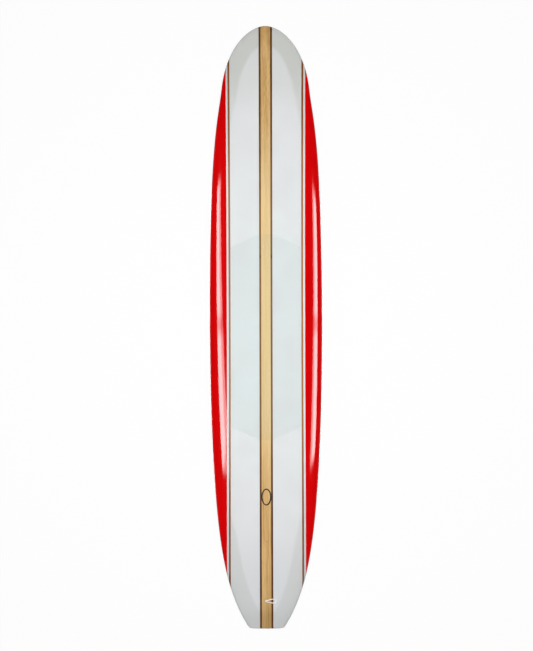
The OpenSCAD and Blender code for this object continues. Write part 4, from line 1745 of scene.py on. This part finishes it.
# How far each sticker's middle is from the patch beside it, and its half sizes across and along the board
DECK_STICKER_BEHIND = 0.284
DECK_STICKER_HALVES: Span = (0.025, 0.042)
BOTTOM_STICKER_AHEAD = 0.115
BOTTOM_STICKER_HALVES: Span = (0.135, 0.055)


@dataclass
class OvalLine:
    """A plain oval line printed on the glass."""

    bench: Bench
    name: str
    face: Face
    middle_y: float
    half_x: float
    half_y: float
    line: float = 0.006
    film: float = 0.00005
    thick: float = 0.0002
    steps: int = 160
    columns: int = 5

    def build(self) -> None:
        """Builds the line."""
        shape = self.bench.shape
        nets = []
        for lift in (self.film + self.thick, self.film):
            rows = []
            for angle in np.linspace(0, 2 * math.pi, self.steps + 1):
                row = []
                for inset in np.linspace(0, self.line, self.columns):
                    x = (self.half_x - inset) * math.cos(angle)
                    y = self.middle_y + (self.half_y - inset) * math.sin(angle)
                    row.append((x, y, shape.height(self.face, x, y) + self.face.value * lift))
                rows.append(row)
            nets.append(np.array(rows))
        piece = lay_up(f"{self.name}_made", *nets)
        self.bench.dress(piece, "black_ink")


def make_finishes(bench: Bench) -> None:
    """Builds every material, by the name of its slot."""
    finishes = {
        "balsa": WoodFinish(
            "balsa", colour(221, 185, 125), colour(176, 132, 74), 0.42, 0.45, (0.90, 0.87, 0.82, 1),
            middle_cream=0.52, knot=(0.0, -1.067), tail_end_shade=0.80, blush=(1.13, 1.0, 0.88, 1),
        ),
        "redwood": WoodFinish(
            "redwood", colour(112, 66, 27), colour(60, 30, 10), 0.55, 0.5, (0.9, 0.87, 0.84, 1),
            middle_cream=0.4, cream=colour(170, 122, 62), nick_y=0.365,
        ),
        "stringer_wood": WoodFinish(
            "stringer_wood", colour(156, 96, 50), colour(110, 60, 24), 0.4, 0.5, (0.8, 0.76, 0.7, 1),
            middle_cream=0.35, cream=colour(206, 152, 96),
        ),
        "foam": FoamFinish(
            "foam", colour(224, 225, 226), colour(219, 221, 222), colour(222, 228, 228),
            colour(216, 217, 217), colour(216, 218, 220), colour(229, 223, 220),
            (1.025, 0.985, 1.005, 1), (0.865, 0.872, 0.835, 1), (0.845, 0.845, 0.785, 1),
        ),
        "clear_glass": ClearGlassFinish("clear_glass", colour(190, 200, 190), 0.0),
        "glass_patch": ClearGlassFinish("glass_patch", colour(150, 240, 232), 0.030, shine=0.05),
        "tail_glass": ClearGlassFinish("tail_glass", colour(236, 238, 234), 0.030, shine=0.05),
        "red_laminate": RedLaminateFinish(),
        "box_plastic": MouldedFinish("box_plastic", colour(9, 12, 12), colour(17, 20, 20), 0.38),
        "resin": MouldedFinish("resin", colour(206, 204, 190), colour(188, 184, 166), 0.18),
        "plug_resin": MouldedFinish("plug_resin", colour(206, 172, 120), colour(192, 156, 104), 0.10),
        "steel": MouldedFinish("steel", colour(206, 208, 212), colour(172, 173, 176), 0.32, metal=0.5),
        "white_cord": BraidFinish(),
        "black_ink": MouldedFinish("black_ink", colour(24, 24, 26), colour(34, 34, 36), 0.3),
    }
    for name, finish in finishes.items():
        bench.materials[name] = finish.make(bench.groups)


def main() -> None:
    """Builds the board round its frame and lights it."""
    logging.basicConfig(level=logging.INFO, format="%(name)s: %(message)s")
    bpy.context.scene.view_settings.view_transform = "Standard"
    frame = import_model()
    studio = Studio()
    studio.set_camera()
    bench = Bench(frame, BoardShape(), SharedGroups.build())
    make_finishes(bench)
    loop = LeashLoop(bench)
    loop.build()
    loop.build_plug()
    well = FinWell(bench)
    well.build()
    Blank(bench, well, loop).build()
    shell = GlassShell(bench, well, loop)
    shell.build()
    deck_y = bench.shape.half - shell.deck_patch_rear - DECK_STICKER_BEHIND
    bottom_y = shell.tail_patch_front + BOTTOM_STICKER_AHEAD - bench.shape.half
    OvalLine(bench, "deck_sticker", Face.DECK, deck_y, *DECK_STICKER_HALVES).build()
    OvalLine(bench, "bottom_sticker", Face.BOTTOM, bottom_y, *BOTTOM_STICKER_HALVES).build()
    studio.set_lamps()
    studio.set_world()
    studio.set_floor()


if __name__ == "__main__":
    main()
